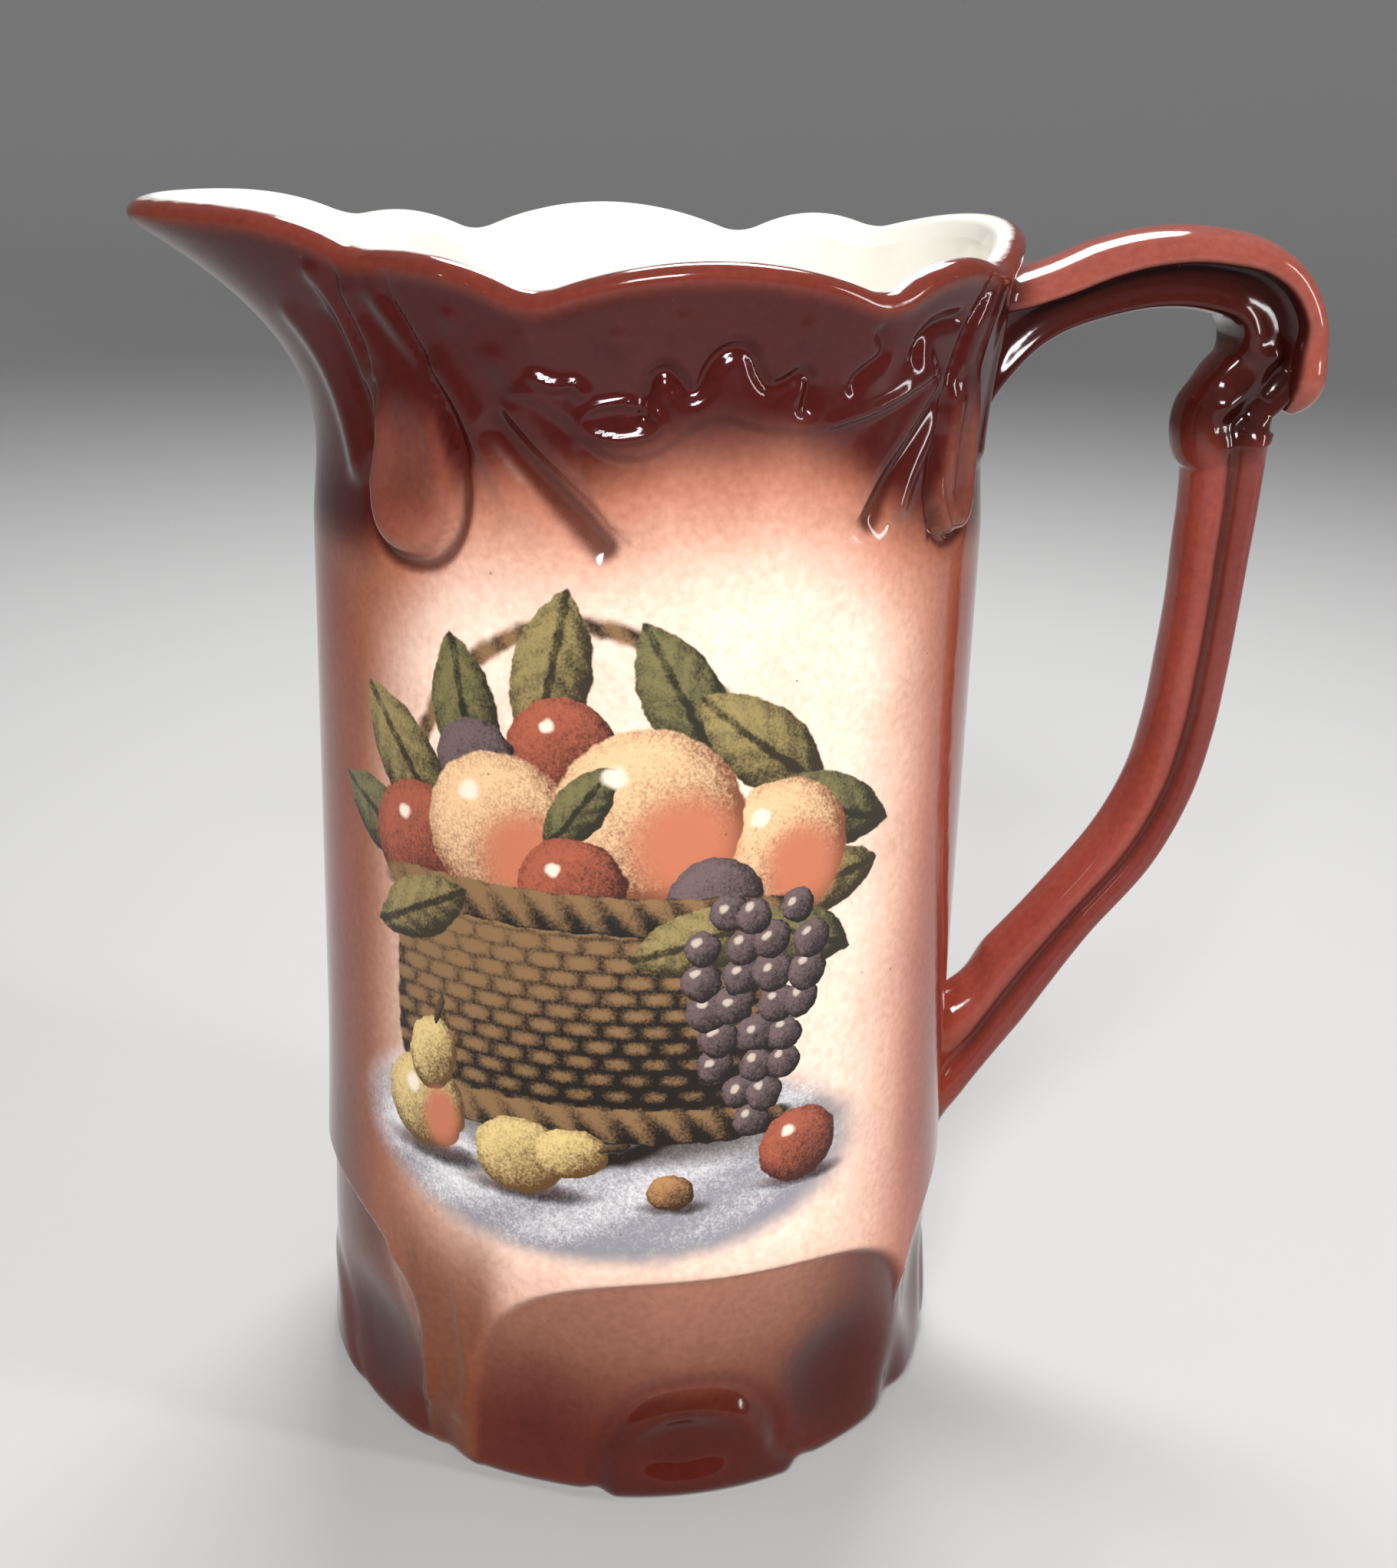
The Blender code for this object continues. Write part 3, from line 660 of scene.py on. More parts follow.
# %% Rings
def section_shares(stations):
    """A section's half through its stations as a smooth curve, mirrored into a closed ring."""
    half = smooth_path(stations, 4)
    return np.vstack([half, half[-2:0:-1] * (1.0, -1.0)])


def in_millimetres(stations):
    """Stations as distance from the axis, height, half thickness and half width, all in millimetres."""
    span, height, thick, wide = np.array(stations).T
    height = height * BODY_HEIGHT
    out = plain_radius(height, np.zeros_like(height)) + span * HANDLE_SPAN
    return np.stack([out, height, thick * HANDLE_THICKNESS / 2.0, wide * HANDLE_WIDTH / 2.0], axis=1)


def outward_of(path):
    """The path's heading, made level near the wall, turned a quarter to the outside of the loop."""
    heading = np.gradient(path[:, :2], axis=0)
    heading /= np.linalg.norm(heading, axis=1, keepdims=True)
    span = (path[:, :1] - plain_radius(path[:, 1:2], np.zeros_like(path[:, :1]))) / HANDLE_SPAN
    upright = 1.0 - smooth_step((span - 0.12) / 0.30)
    heading = heading + upright * (np.sign(heading[:, :1]) * (1.0, 0.0) - heading)
    heading /= np.linalg.norm(heading, axis=1, keepdims=True)
    return np.stack([-heading[:, 1], heading[:, 0]], axis=1)


def lofted(path, ring):
    """Rings of points: path + depth * half thickness * outward, and width * half width across the loop."""
    outward = outward_of(path)
    depth, width = np.moveaxis(np.broadcast_to(ring, (len(path),) + ring.shape[-2:]), -1, 0)
    x = path[:, :1] + depth * path[:, 2:3] * outward[:, :1]
    z = path[:, 1:2] + depth * path[:, 2:3] * outward[:, 1:]
    return np.stack([x, width * path[:, 3:4], z], axis=-1), depth


def handle_ring(way):
    """The arch's section over the arch, the grip's below the scroll, and a smooth blend between."""
    arch = section_shares(ARCH_SECTION)
    grip = section_shares(GRIP_SECTION)
    share = smooth_step((way[:, None, None] - 0.43) / 0.09)
    return arch + share * (grip - arch)


def flared_at_wall(rings):
    """Near the wall each point moves away from the ring's middle by 0.9 r (1 - sqrt(1 - (1 - s/r)^2)).

    s is the distance out from the wall, so the surface turns from the handle into the wall.
    """
    middle = rings.mean(axis=1, keepdims=True)
    turn = np.arctan2(rings[..., 1], rings[..., 0])
    wall = plain_radius(rings[..., 2], away_from_handle(turn))
    off = np.hypot(rings[..., 0], rings[..., 1]) - wall
    share = np.clip(1.0 - np.maximum(off, 0.0) / FILLET, 0.0, 1.0)
    push = 0.9 * FILLET * (1.0 - np.sqrt(1.0 - share ** 2))
    away = rings - middle
    away[..., 0] = 0.0
    away /= np.maximum(np.linalg.norm(away, axis=-1, keepdims=True), 1e-9)
    return rings + push[..., None] * away


def seated(ring):
    """An end ring moved along its radius to the middle of the wall."""
    turn = np.arctan2(ring[:, 1], ring[:, 0])
    radius = plain_radius(ring[:, 2], away_from_handle(turn)) - WALL / 2.0
    return place(radius, turn, ring[:, 2])


print("points in a ring of the core:", len(section_shares(GRIP_SECTION)))

# %% [markdown]
# ## The scroll's modelling
#
# On the side of the scroll the clay was pressed with a finger and a tool: a leaf-like ridge sweeps from
# the eye of the curl to the knob inside, with a small bead at its start and two below it. They are lines
# along a path again, this time in the plane of the loop, and they move the handle's sides out or in.

# %% Scroll
# Paths in millimetres from the axis and above the table; the beads' last two numbers are radius and rise
SCROLL_LINES = (
    dict(path=((92.0, 158.0), (89.0, 155.6), (87.6, 152.4), (84.6, 149.8), (81.0, 148.2)), rise=0.9,
         width=1.7),
    dict(path=((93.2, 155.0), (91.6, 151.8), (89.2, 149.4)), rise=0.6, width=1.0),
    dict(path=((86.4, 157.4), (84.6, 153.6), (81.4, 151.8), (78.4, 151.6)), rise=-0.7, width=1.9),
    dict(path=((87.6, 147.8), (84.6, 146.4), (81.6, 145.8)), rise=-0.5, width=1.3),
)
SCROLL_BEADS = ((84.6, 143.0, 2.0, 0.7), (88.6, 143.2, 1.8, 0.7), (90.6, 156.2, 1.5, 0.6))


def modelled_sides(rings):
    """Each side moved out by its ridges, exp(-(d / width)^2), and beads; nothing moves at the edges."""
    x, z = rings[..., 0], rings[..., 2]
    rise = np.zeros_like(x)
    for line in SCROLL_LINES:
        signed, way = off_path(x, z, smooth_path(line["path"], 6))
        ends = smooth_step(way / 0.2) * smooth_step((1.0 - way) / 0.2)
        rise += line["rise"] * np.exp(-(signed / line["width"]) ** 2) * ends
    for bead_x, bead_z, radius, height in SCROLL_BEADS:
        rise += height * np.exp(-((x - bead_x) ** 2 + (z - bead_z) ** 2) / radius ** 2)
    side = smooth_step(np.abs(rings[..., 1]) / 3.0)
    moved = rings.copy()
    moved[..., 1] += np.sign(rings[..., 1]) * rise * side
    return moved


print(len(SCROLL_LINES), "lines and", len(SCROLL_BEADS), "beads on each side of the scroll")

# %% [markdown]
# ## Core and strap
#
# The arch is really two forms: a core with hollow sides, and a strap over it whose edge stays crisp all
# the way to the tip of the curl. Below the scroll the core alone runs on as the grip. So there are two
# lofts. The strap follows the core's outer side over the arch, then leaves it and rolls into the curl.

# %% Core and strap
STRAP_HALF = 2.5        # half thickness of the strap on the arch
STEPS = 12
STRAP_ON_ARCH = 11      # the first stations, along which the strap lies on the core

core_path = smooth_path(in_millimetres(HANDLE_STATIONS), STEPS)
core_way = np.linspace(0.0, 1.0, len(core_path))
core_rings, core_depth = lofted(core_path, handle_ring(core_way))
core_rings = modelled_sides(flared_at_wall(core_rings))
for end in (0, -1):
    core_rings[end] = seated(core_rings[end])
core_mesh = tube_mesh("jug_handle", core_rings, [core_rings[end].mean(axis=0) for end in (0, -1)])
put("jug_handle", core_mesh)

lies = core_path[:STRAP_ON_ARCH * STEPS:STEPS]
rise = outward_of(core_path)[:STRAP_ON_ARCH * STEPS:STEPS] * (lies[:, 2:3] - STRAP_HALF)
on_arch = np.column_stack([lies[:, :2] + rise, np.full(len(lies), STRAP_HALF), lies[:, 3]])
strap_path = smooth_path(np.vstack([on_arch, in_millimetres(CURL_STATIONS)]), STEPS)
strap_rings, strap_depth = lofted(strap_path, section_shares(STRAP_SECTION))
strap_rings = flared_at_wall(strap_rings)
strap_rings[0] = seated(strap_rings[0])
strap_mesh = tube_mesh("jug_handle_strap", strap_rings, [strap_rings[end].mean(axis=0) for end in (0, -1)])
put("jug_handle_strap", strap_mesh)
print("core:", core_rings.shape[:2], "strap:", strap_rings.shape[:2], "rings and points")

# %% [markdown]
# ## The colours that were blown on, and painted shade
#
# The decorator sprayed stains under the glaze: plum on the collar, chestnut on the sides, fawn in the
# petals, all fading into a cream panel for the picture. Soft zones like these could be painted with
# gradients in nodes. They are worked out here for every point instead, because the same turn, height
# and relief that shaped the wall also say where the stains lie, and where painted shade darkens the
# hollows and grooves.

# %% Stains
def paint(red, green, blue):
    """A colour as a screen shows it, 0 to 255, made linear: ((v + 0.055) / 1.055)^2.4."""
    return ((np.array([red, green, blue]) / 255.0 + 0.055) / 1.055) ** 2.4


CREAM = paint(246, 218, 200)
BLUSH = paint(208, 152, 130)
OCHRE = paint(150, 92, 54)
CHESTNUT = paint(140, 62, 42)
PLUM = paint(80, 30, 28)
# painted shade for the groove of the handle
GROOVE_SHADE = paint(34, 10, 8)
TAN = paint(170, 118, 96)
FAWN = paint(164, 116, 96)
RUST = paint(106, 44, 30)
LOBE = paint(82, 30, 20)
# a dark brown for painted shade in the hollows and grooves, and for the darker lower left side
HOLLOW = paint(76, 24, 14)
STEM = paint(122, 74, 48)
DROP = paint(146, 88, 72)
RIM_BROWN = paint(134, 68, 54)
# Azimuth in degrees and the height in millimetres at which the collar's stain has faded by half
COLLAR_EDGE = ((-90.0, 131.0), (-60.0, 134.5), (-50.0, 139.0), (-40.0, 146.0), (-30.0, 148.0), (-18.0, 147.5),
               (-6.0, 151.0), (12.0, 152.0), (22.0, 148.5), (33.0, 142.0), (48.0, 137.0), (90.0, 134.0))
STAIN_DENSITY = 1.18        # a stain looks deeper under glaze than bare: its colour to this power


def blended(under, over, share):
    """under + share * (over - under) for every point."""
    return under + share[:, None] * (over - under)


def sides_and_panel(azimuth, height, edge, front):
    """Chestnut sides, darker low on the left, a warm halo, and the cream panel inside it, with its share."""
    low_left = smooth_step((-azimuth - 50.0) / 20.0) * smooth_step((84.0 - height) / 56.0)
    colour = blended(CHESTNUT, HOLLOW, 0.75 * low_left)
    halo = smooth_step((azimuth + 78.0) / 26.0) * smooth_step((60.0 - azimuth) / 26.0)
    halo = halo * smooth_step((edge + 6.0 - height) / 14.0) * smooth_step((height - 10.0) / 24.0)
    warm = blended(BLUSH, OCHRE, 0.75 * smooth_step((-azimuth - 34.0) / 28.0))
    colour = blended(colour, warm, halo * (0.6 + 0.28 * front))
    low = smooth_step((62.0 - height) / 40.0)
    panel = smooth_step((azimuth + 64.0 - 14.0 * low) / 24.0) * smooth_step((48.0 - azimuth) / 24.0)
    panel = panel * smooth_step((edge - 3.0 - height) / 19.0) * smooth_step((height - 20.0) / 26.0)
    return blended(colour, CREAM, panel * front), panel


def with_foot(colour, azimuth, height):
    """The stem between two petals, the petals from rust at the table up to fawn, and their lobes."""
    away = 90.0 - azimuth
    stem = smooth_step((azimuth + 62.0) / 14.0) * smooth_step((-28.0 - azimuth) / 8.0)
    colour = blended(colour, STEM, 0.85 * stem * smooth_step((50.0 - height) / 22.0))
    petal = blended(RUST, FAWN, smooth_step((height - 9.0) / 20.0))
    petal = blended(petal, PLUM, 0.85 * smooth_step((azimuth - 16.0) / 24.0))
    petal = blended(petal, RUST, 0.8 * smooth_step((-azimuth - 52.0) / 14.0))
    colour = blended(colour, petal, 0.94 * petal_mask(away, height))
    for _, lobe, share, _ in PETALS:
        inside = smooth_step((1.12 - lobe_edge(away, height, lobe)) / 0.12)
        colour = blended(colour, LOBE, 0.85 * share * inside * smooth_step((20.0 - height) / 4.0))
    return colour


def stain_and_shade_colours(azimuth, height, relief, under_rim):
    """Sides, panel and foot, then the collar, painted shade in the hollows and grooves, the drops and the
    rim.

    The back is the front's mirror image, but its paler zone is fainter and has no cream.
    """
    front = smooth_step((100.0 - np.abs(azimuth)) / 12.0)
    azimuth = np.where(np.abs(azimuth) > 90.0, np.sign(azimuth) * (180.0 - np.abs(azimuth)), azimuth)
    edge = np.interp(azimuth, *np.array(COLLAR_EDGE).T)
    colour, panel = sides_and_panel(azimuth, height, edge, front)
    colour = with_foot(colour, azimuth, height)
    colour = blended(colour, TAN, 0.5 * smooth_step((height - edge + 10.0) / 10.0) * front)
    colour = blended(colour, PLUM, smooth_step((height - edge + 5.0) / 10.0))
    # painted shade: darker in the hollows of the foot
    hollow_shade = np.clip(-relief - 0.5, 0.0, 2.2) / 2.2
    colour = blended(colour, HOLLOW, 0.9 * hollow_shade * (height < 90.0) * (1.0 - panel))
    # painted shade: darker in the grooves and creases of the collar
    colour = blended(colour, HOLLOW, 0.8 * smooth_step((-relief - 0.10) / 0.6) * (height > 90.0))
    drop = smooth_step((relief - 0.6) / 0.8) * (height > 130.0) * smooth_step((158.0 - height) / 10.0)
    colour = blended(colour, DROP, 0.6 * drop * smooth_step((np.abs(azimuth) - 30.0) / 6.0))
    colour = blended(colour, RIM_BROWN, 0.75 * smooth_step((4.0 - under_rim) / 2.4) * (height > 140.0))
    return colour ** STAIN_DENSITY


print("front crest of the collar's stain at", max(height for _, height in COLLAR_EDGE), "mm")

# %% [markdown]
# ## The stain of every point of the body
#
# The zones need each point's turn, its height and how far it stands off the plain wall. These could be
# measured on the finished mesh, but the grid that made the mesh still holds them. Two more numbers are
# kept for the glaze: how far the lip has turned white, and how near to the rim a point lies.

# %% Stain on the body
points = body_rows.reshape(-1, 3)
body_turn = np.arctan2(points[:, 1], points[:, 0])
body_azimuth = (np.degrees(body_turn) + 270.0) % 360.0 - 180.0      # 0 at the front, 90 at the handle
body_away = away_from_handle(body_turn)
under_rim = rim_height(body_away) - points[:, 2]
plain_off = np.hypot(points[:, 0], points[:, 1]) - plain_radius(points[:, 2], body_away)
outside = np.repeat([kind == "outside" for kind in row_kinds], COLUMNS)
relief = np.where(outside & (points[:, 2] > FOOT_ROUND), plain_off, 0.0)
relief = relief - FOOT_SWELL * (points[:, 2] < PETAL_HEIGHT * 1.4)
body_colours = stain_and_shade_colours(body_azimuth, points[:, 2], relief, under_rim)
lip_share = np.cumsum([kind == "lip" for kind in row_kinds]) / row_kinds.count("lip")
white = np.where([kind == "underside" for kind in row_kinds], 1.0, lip_share)
white = np.repeat(white, COLUMNS)
worn = np.exp(-((under_rim - 0.8) / 1.6) ** 2) * outside
POLES = 2       # each mesh ends with the middle points of its two ends
set_colours(body_mesh, "stain", np.vstack([body_colours, np.tile(CREAM, (POLES, 1))]))
set_values(body_mesh, "white glaze", np.append(white, np.ones(POLES)))
set_values(body_mesh, "worn edge", np.append(worn, np.zeros(POLES)))
print("mean stain of the body", body_colours.mean(axis=0).round(3))

# %% [markdown]
# ## The handle's colours
#
# On the handle the colour follows the place in the section: light on the strap, and painted shade
# between strap and rib, below the strap's edge and on the core under the arch. It fades into the wall's
# own colour where the handle meets it.

# %% Stains of the handle
STRAP = paint(154, 88, 76)
GRIP_STRAP = paint(126, 64, 58)
RIB = paint(150, 78, 66)
# painted shade: the core under the strap along the arch, and the strap's underside
ARCH_SHADE = paint(76, 32, 26)


def core_colours(depth, way):
    """Rib, groove and strap by their place in the section, blended along the way into the grip's tones."""
    depth, way = depth.ravel(), np.repeat(way, depth.shape[1])
    grip = smooth_step((way - 0.49) / 0.09)
    # painted shade: the core is darker along the arch, under the strap
    rib = blended(ARCH_SHADE, RIB, grip)
    strap_side = blended(ARCH_SHADE, GRIP_STRAP, grip)
    colour = blended(rib, strap_side, smooth_step((depth - 0.10) / 0.30))
    # painted shade: the groove between rib and strap is darkened
    groove = np.exp(-((depth + 0.02) / (0.40 - 0.18 * grip)) ** 2)
    return blended(colour, GROOVE_SHADE, 0.7 * groove) ** STAIN_DENSITY


def strap_colours(depth):
    """Light on the strap's face, and painted shade below its edge."""
    return blended(ARCH_SHADE, STRAP, smooth_step((depth.ravel() + 0.95) / 0.35)) ** STAIN_DENSITY


def faded_into_wall(colour, rings):
    """The wall's own stain within a few millimetres of the wall."""
    rings = rings.reshape(-1, 3)
    count = len(rings)
    off = np.hypot(rings[:, 0], rings[:, 1]) - plain_radius(rings[:, 2], np.zeros(count))
    wall = stain_and_shade_colours(np.full(count, 90.0), rings[:, 2], np.zeros(count), np.full(count, 9.0))
    return blended(colour, wall, smooth_step(1.0 - off / 7.0))


for mesh, rings, colours in ((core_mesh, core_rings, core_colours(core_depth, core_way)),
                             (strap_mesh, strap_rings, strap_colours(strap_depth))):
    colours = faded_into_wall(colours, rings)
    set_colours(mesh, "stain", np.vstack([colours, colours[:1], colours[-1:]]))
print("stains stored on", core_mesh.name, "and", strap_mesh.name)

# %% [markdown]
# ## Small helpers for nodes
#
# A material is a tree of nodes. Each helper here adds one node and returns the socket that the next one
# reads, so that a pattern can be written as a sum or a product, as it would be on paper.

# %% Node helpers
def feed(tree, socket, value):
    """Links a socket to another, or sets it to a plain number or colour."""
    if isinstance(value, bpy.types.NodeSocket):
        tree.links.new(value, socket)
    else:
        socket.default_value = value


def worked(tree, operation, *values):
    """The result of a Math node."""
    made = tree.nodes.new("ShaderNodeMath")
    made.operation = operation
    for socket, value in zip(made.inputs, values):
        feed(tree, socket, value)
    return made.outputs[0]


def eased(tree, value, low_end, high_end, top=1.0):
    """0 at the low end, top at the high end, an S curve between. Either end may be the greater."""
    made = tree.nodes.new("ShaderNodeMapRange")
    made.interpolation_type = "SMOOTHSTEP"
    made.clamp = False      # an S curve already ends at 0 and 1
    for name, number in (("Value", value), ("From Min", low_end), ("From Max", high_end), ("To Max", top)):
        feed(tree, made.inputs[name], number)
    return made.outputs["Result"]


def mixed(tree, under, over, share, blend="MIX"):
    """One colour laid over another by a share."""
    made = tree.nodes.new("ShaderNodeMix")
    made.data_type = "RGBA"
    made.blend_type = blend
    for number, value in ((0, share), (6, under), (7, over)):
        feed(tree, made.inputs[number], (*value, 1.0) if isinstance(value, np.ndarray) else value)
    return made.outputs[2]


def noise(tree, vector, scale, detail=3.0, output="Fac"):
    """Cloudy noise, about 0.5 on average. The scale is in clouds for each unit of the vector."""
    made = tree.nodes.new("ShaderNodeTexNoise")
    made.inputs["Scale"].default_value = scale
    made.inputs["Detail"].default_value = detail
    tree.links.new(vector, made.inputs["Vector"])
    return made.outputs[output]


def stored(tree, name):
    """The colour and the number of a point attribute."""
    made = tree.nodes.new("ShaderNodeAttribute")
    made.attribute_name = name
    return made.outputs["Color"], made.outputs["Fac"]


def new_material(name, roughness, ior=1.5):
    """A material's tree and its Principled shader, with its gloss set."""
    made = bpy.data.materials.new(name)
    made.use_nodes = True
    shader = made.node_tree.nodes["Principled BSDF"]
    shader.inputs["Roughness"].default_value = roughness
    shader.inputs["IOR"].default_value = ior
    return made, made.node_tree, shader


print("a noise with one cloud for each millimetre has a scale of", round(1.0 / MM))

# %% [markdown]
# ## One painted form
#
# The panel on the front holds a printed still life: fruit in a basket. A print is built up from simple
# forms, each with its own outline and shading. A few nodes draw one form: they turn the place into the
# form's own frame, where the outline lies at 1, and shade it from the upper left. Outlines in nodes stay
# crisp at any distance, which colours stored on points would not. An oval is x^2 + y^2, a block is
# x^4 + y^4, and a leaf is x^2 + 0.8|y| + 0.2 y^2, which is pointed, with veins. A spot is an oval of one
# flat tone, for the light and the cheek of a fruit.

# %% Painted form
def vector_worked(tree, operation, *values):
    """The result of a Vector Math node."""
    made = tree.nodes.new("ShaderNodeVectorMath")
    made.operation = operation
    for socket, value in zip(made.inputs, values):
        feed(tree, socket, value)
    return made.outputs["Value" if operation in ("DOT_PRODUCT", "LENGTH") else "Vector"]


def waves(tree, x, y, x_rate, y_rate):
    """sin(x_rate * x + y_rate * y)."""
    return worked(tree, "SINE", worked(tree, "MULTIPLY_ADD", x, x_rate, worked(tree, "MULTIPLY", y, y_rate)))


def form_edge(tree, kind, x, y):
    """How far out a place is in a form's own frame: 0 in the middle, 1 on the outline."""
    x_squared = worked(tree, "MULTIPLY", x, x)
    y_squared = worked(tree, "MULTIPLY", y, y)
    if kind == "block":
        y_fourth = worked(tree, "MULTIPLY", y_squared, y_squared)
        return worked(tree, "MULTIPLY_ADD", x_squared, x_squared, y_fourth)
    if kind == "leaf":
        pointed = worked(tree, "MULTIPLY_ADD", worked(tree, "ABSOLUTE", y), 0.8, x_squared)
        return worked(tree, "MULTIPLY_ADD", y_squared, 0.2, pointed)
    return worked(tree, "ADD", x_squared, y_squared)


def form_tone(tree, kind, x, y, edge, turn, grain):
    """Light from the upper left plus grain, darker towards the outline; a leaf has a midrib and veins."""
    lit_x = -0.36 * math.cos(turn) + 0.44 * math.sin(turn)
    lit_y = 0.36 * math.sin(turn) + 0.44 * math.cos(turn)
    tone = worked(tree, "MULTIPLY_ADD", x, lit_x, worked(tree, "MULTIPLY_ADD", y, lit_y, grain))
    if kind == "leaf":
        rise = worked(tree, "ABSOLUTE", y)
        veins = waves(tree, x, rise, 17.0, -9.0)
        tone = worked(tree, "MULTIPLY_ADD", veins, 0.10, tone)
        tone = worked(tree, "MULTIPLY_ADD", eased(tree, rise, 0.16, 0.04), -0.55, tone)
    return worked(tree, "MULTIPLY_ADD", eased(tree, edge, 0.45, 1.08), -0.42, tone)


def laid_form(tree, under, here, form, grain):
    """Lays one form over a colour. A form's row may end with how soft its outline is and its share."""
    kind, middle, half, turn, (dark, light), *rest = form
    soft = rest[0] if rest else 0.05
    share = rest[1] if len(rest) > 1 else 1.0
    turn = math.radians(turn)
    off = vector_worked(tree, "SUBTRACT", here, (*middle, 0.0))
    x = vector_worked(tree, "DOT_PRODUCT", off, np.array([math.cos(turn), math.sin(turn), 0.0]) / half[0])
    y = vector_worked(tree, "DOT_PRODUCT", off, np.array([-math.sin(turn), math.cos(turn), 0.0]) / half[1])
    edge = form_edge(tree, kind, x, y)
    shade = light
    if kind != "spot":
        tone = form_tone(tree, kind, x, y, edge, turn, grain)
        shade = mixed(tree, dark, light, eased(tree, tone, -0.60, 0.50))
    return mixed(tree, under, shade, eased(tree, edge, 1.0 + soft / 2.0, 1.0 - soft, share))


print("kinds of form: oval, block, leaf and spot")

# %% [markdown]
# ## The still life
#
# Places are in millimetres on the unrolled wall: along from the middle of the front, and up from the
# table. Each row is a kind, a form's middle, its half sizes, its turn in degrees and its dark and light
# tones, then how soft its outline is and its share, where they aren't 0.05 and 1. Forms further down a
# list lie over those above. A printer laid darker and lighter inks over one another, so fruit gets a
# cheek of another colour and a small light spot.

# %% Forms of the still life
GREEN = (paint(40, 36, 22), paint(118, 110, 70))
OLIVE = (paint(48, 40, 24), paint(150, 132, 84))
PEACH = (paint(118, 68, 44), paint(232, 190, 146))
APPLE = (paint(62, 26, 18), paint(166, 88, 64))
DAMSON = (paint(30, 22, 22), paint(110, 90, 90))
PEAR = (paint(92, 64, 32), paint(222, 194, 132))
WICKER = (paint(26, 18, 12), paint(134, 102, 68))
NUT = (paint(58, 36, 20), paint(176, 130, 86))
CHEEK = 2 * (paint(190, 112, 82),)      # a spot has one tone, so it is written twice
GLINT = 2 * (paint(238, 222, 200),)
STALK = (paint(30, 22, 14), paint(92, 70, 46))
CLOTH = ("oval", (-12.0, 56.0), (39.0, 16.0), 0.0, (paint(128, 130, 140), paint(232, 230, 232)), 0.30, 0.92)
SHADOW = ("oval", (-12.0, 60.0), (34.0, 5.0), 0.0, (paint(52, 42, 36), paint(84, 72, 64)), 0.9, 0.9)
HANDLE_OUTER = ("oval", (-15.0, 93.0), (28.6, 38.6), 0.0, WICKER)
HANDLE_INNER = (26.0, 36.0)     # half sizes of the hole inside it
BASKET = ("block", (-15.0, 76.5), (28.5, 17.5), 0.0, WICKER)
UPPER_BAND = ("block", (-15.0, 92.0), (30.5, 2.7), 0.0, WICKER, 0.2)
LOWER_BAND = ("block", (-15.0, 61.5), (30.5, 2.7), 0.0, WICKER, 0.2)
BEHIND_BASKET = (
    ("leaf", (-46.0, 99.0), (10.5, 4.8), -24.0, GREEN),
    ("leaf", (-41.0, 109.0), (12.0, 5.4), -50.0, OLIVE),
    ("leaf", (-31.0, 117.0), (11.0, 5.0), -78.0, GREEN),
    ("leaf", (-19.0, 123.5), (11.5, 5.4), -100.0, OLIVE),
    ("leaf", (-2.0, 121.0), (11.5, 5.2), 118.0, GREEN),
    ("leaf", (9.0, 114.5), (11.5, 5.4), 142.0, OLIVE),
    ("leaf", (18.5, 105.0), (11.5, 5.0), 162.0, GREEN),
    ("leaf", (18.0, 95.0), (10.0, 4.6), 188.0, OLIVE),
    ("oval", (-17.5, 114.0), (7.4, 7.0), 0.0, APPLE),
    ("oval", (-29.5, 111.0), (6.0, 5.8), 0.0, DAMSON),
    ("oval", (-38.5, 98.0), (9.0, 8.6), 0.0, APPLE),
    ("oval", (12.0, 100.5), (9.8, 9.6), 0.0, PEACH),
    ("spot", (15.0, 98.0), (5.8, 6.2), 20.0, CHEEK, 0.9),
    ("oval", (-26.0, 102.0), (11.0, 10.8), 0.0, PEACH),
    ("spot", (-22.5, 99.0), (6.6, 6.6), 0.0, CHEEK, 0.9),
    ("oval", (-6.0, 105.5), (12.4, 12.0), 0.0, PEACH),
    ("spot", (-1.5, 102.0), (7.6, 7.4), 30.0, CHEEK, 0.9),
    ("leaf", (-15.0, 106.5), (7.5, 3.4), 52.0, GREEN),
    ("oval", (-16.0, 95.5), (7.4, 7.0), 0.0, APPLE),
    ("oval", (3.0, 94.0), (6.6, 6.2), 0.0, DAMSON),
    ("spot", (-10.5, 111.0), (1.9, 1.5), 30.0, GLINT, 0.8),
    ("spot", (-30.5, 107.0), (1.8, 1.4), 30.0, GLINT, 0.8),
    ("spot", (-41.5, 101.5), (1.3, 1.0), 30.0, GLINT, 0.8),
    ("spot", (-18.5, 98.0), (1.1, 0.9), 30.0, GLINT, 0.8),
    ("spot", (8.6, 105.0), (1.5, 1.2), 30.0, GLINT, 0.8),
    ("spot", (-19.5, 117.0), (1.1, 0.9), 30.0, GLINT, 0.8),
)
ON_BASKET = (
    ("leaf", (-39.0, 88.5), (9.5, 4.4), 28.0, OLIVE),
    ("leaf", (1.0, 88.5), (10.0, 4.6), 196.0, OLIVE),
    ("leaf", (15.5, 88.0), (8.5, 4.2), 158.0, GREEN),
)
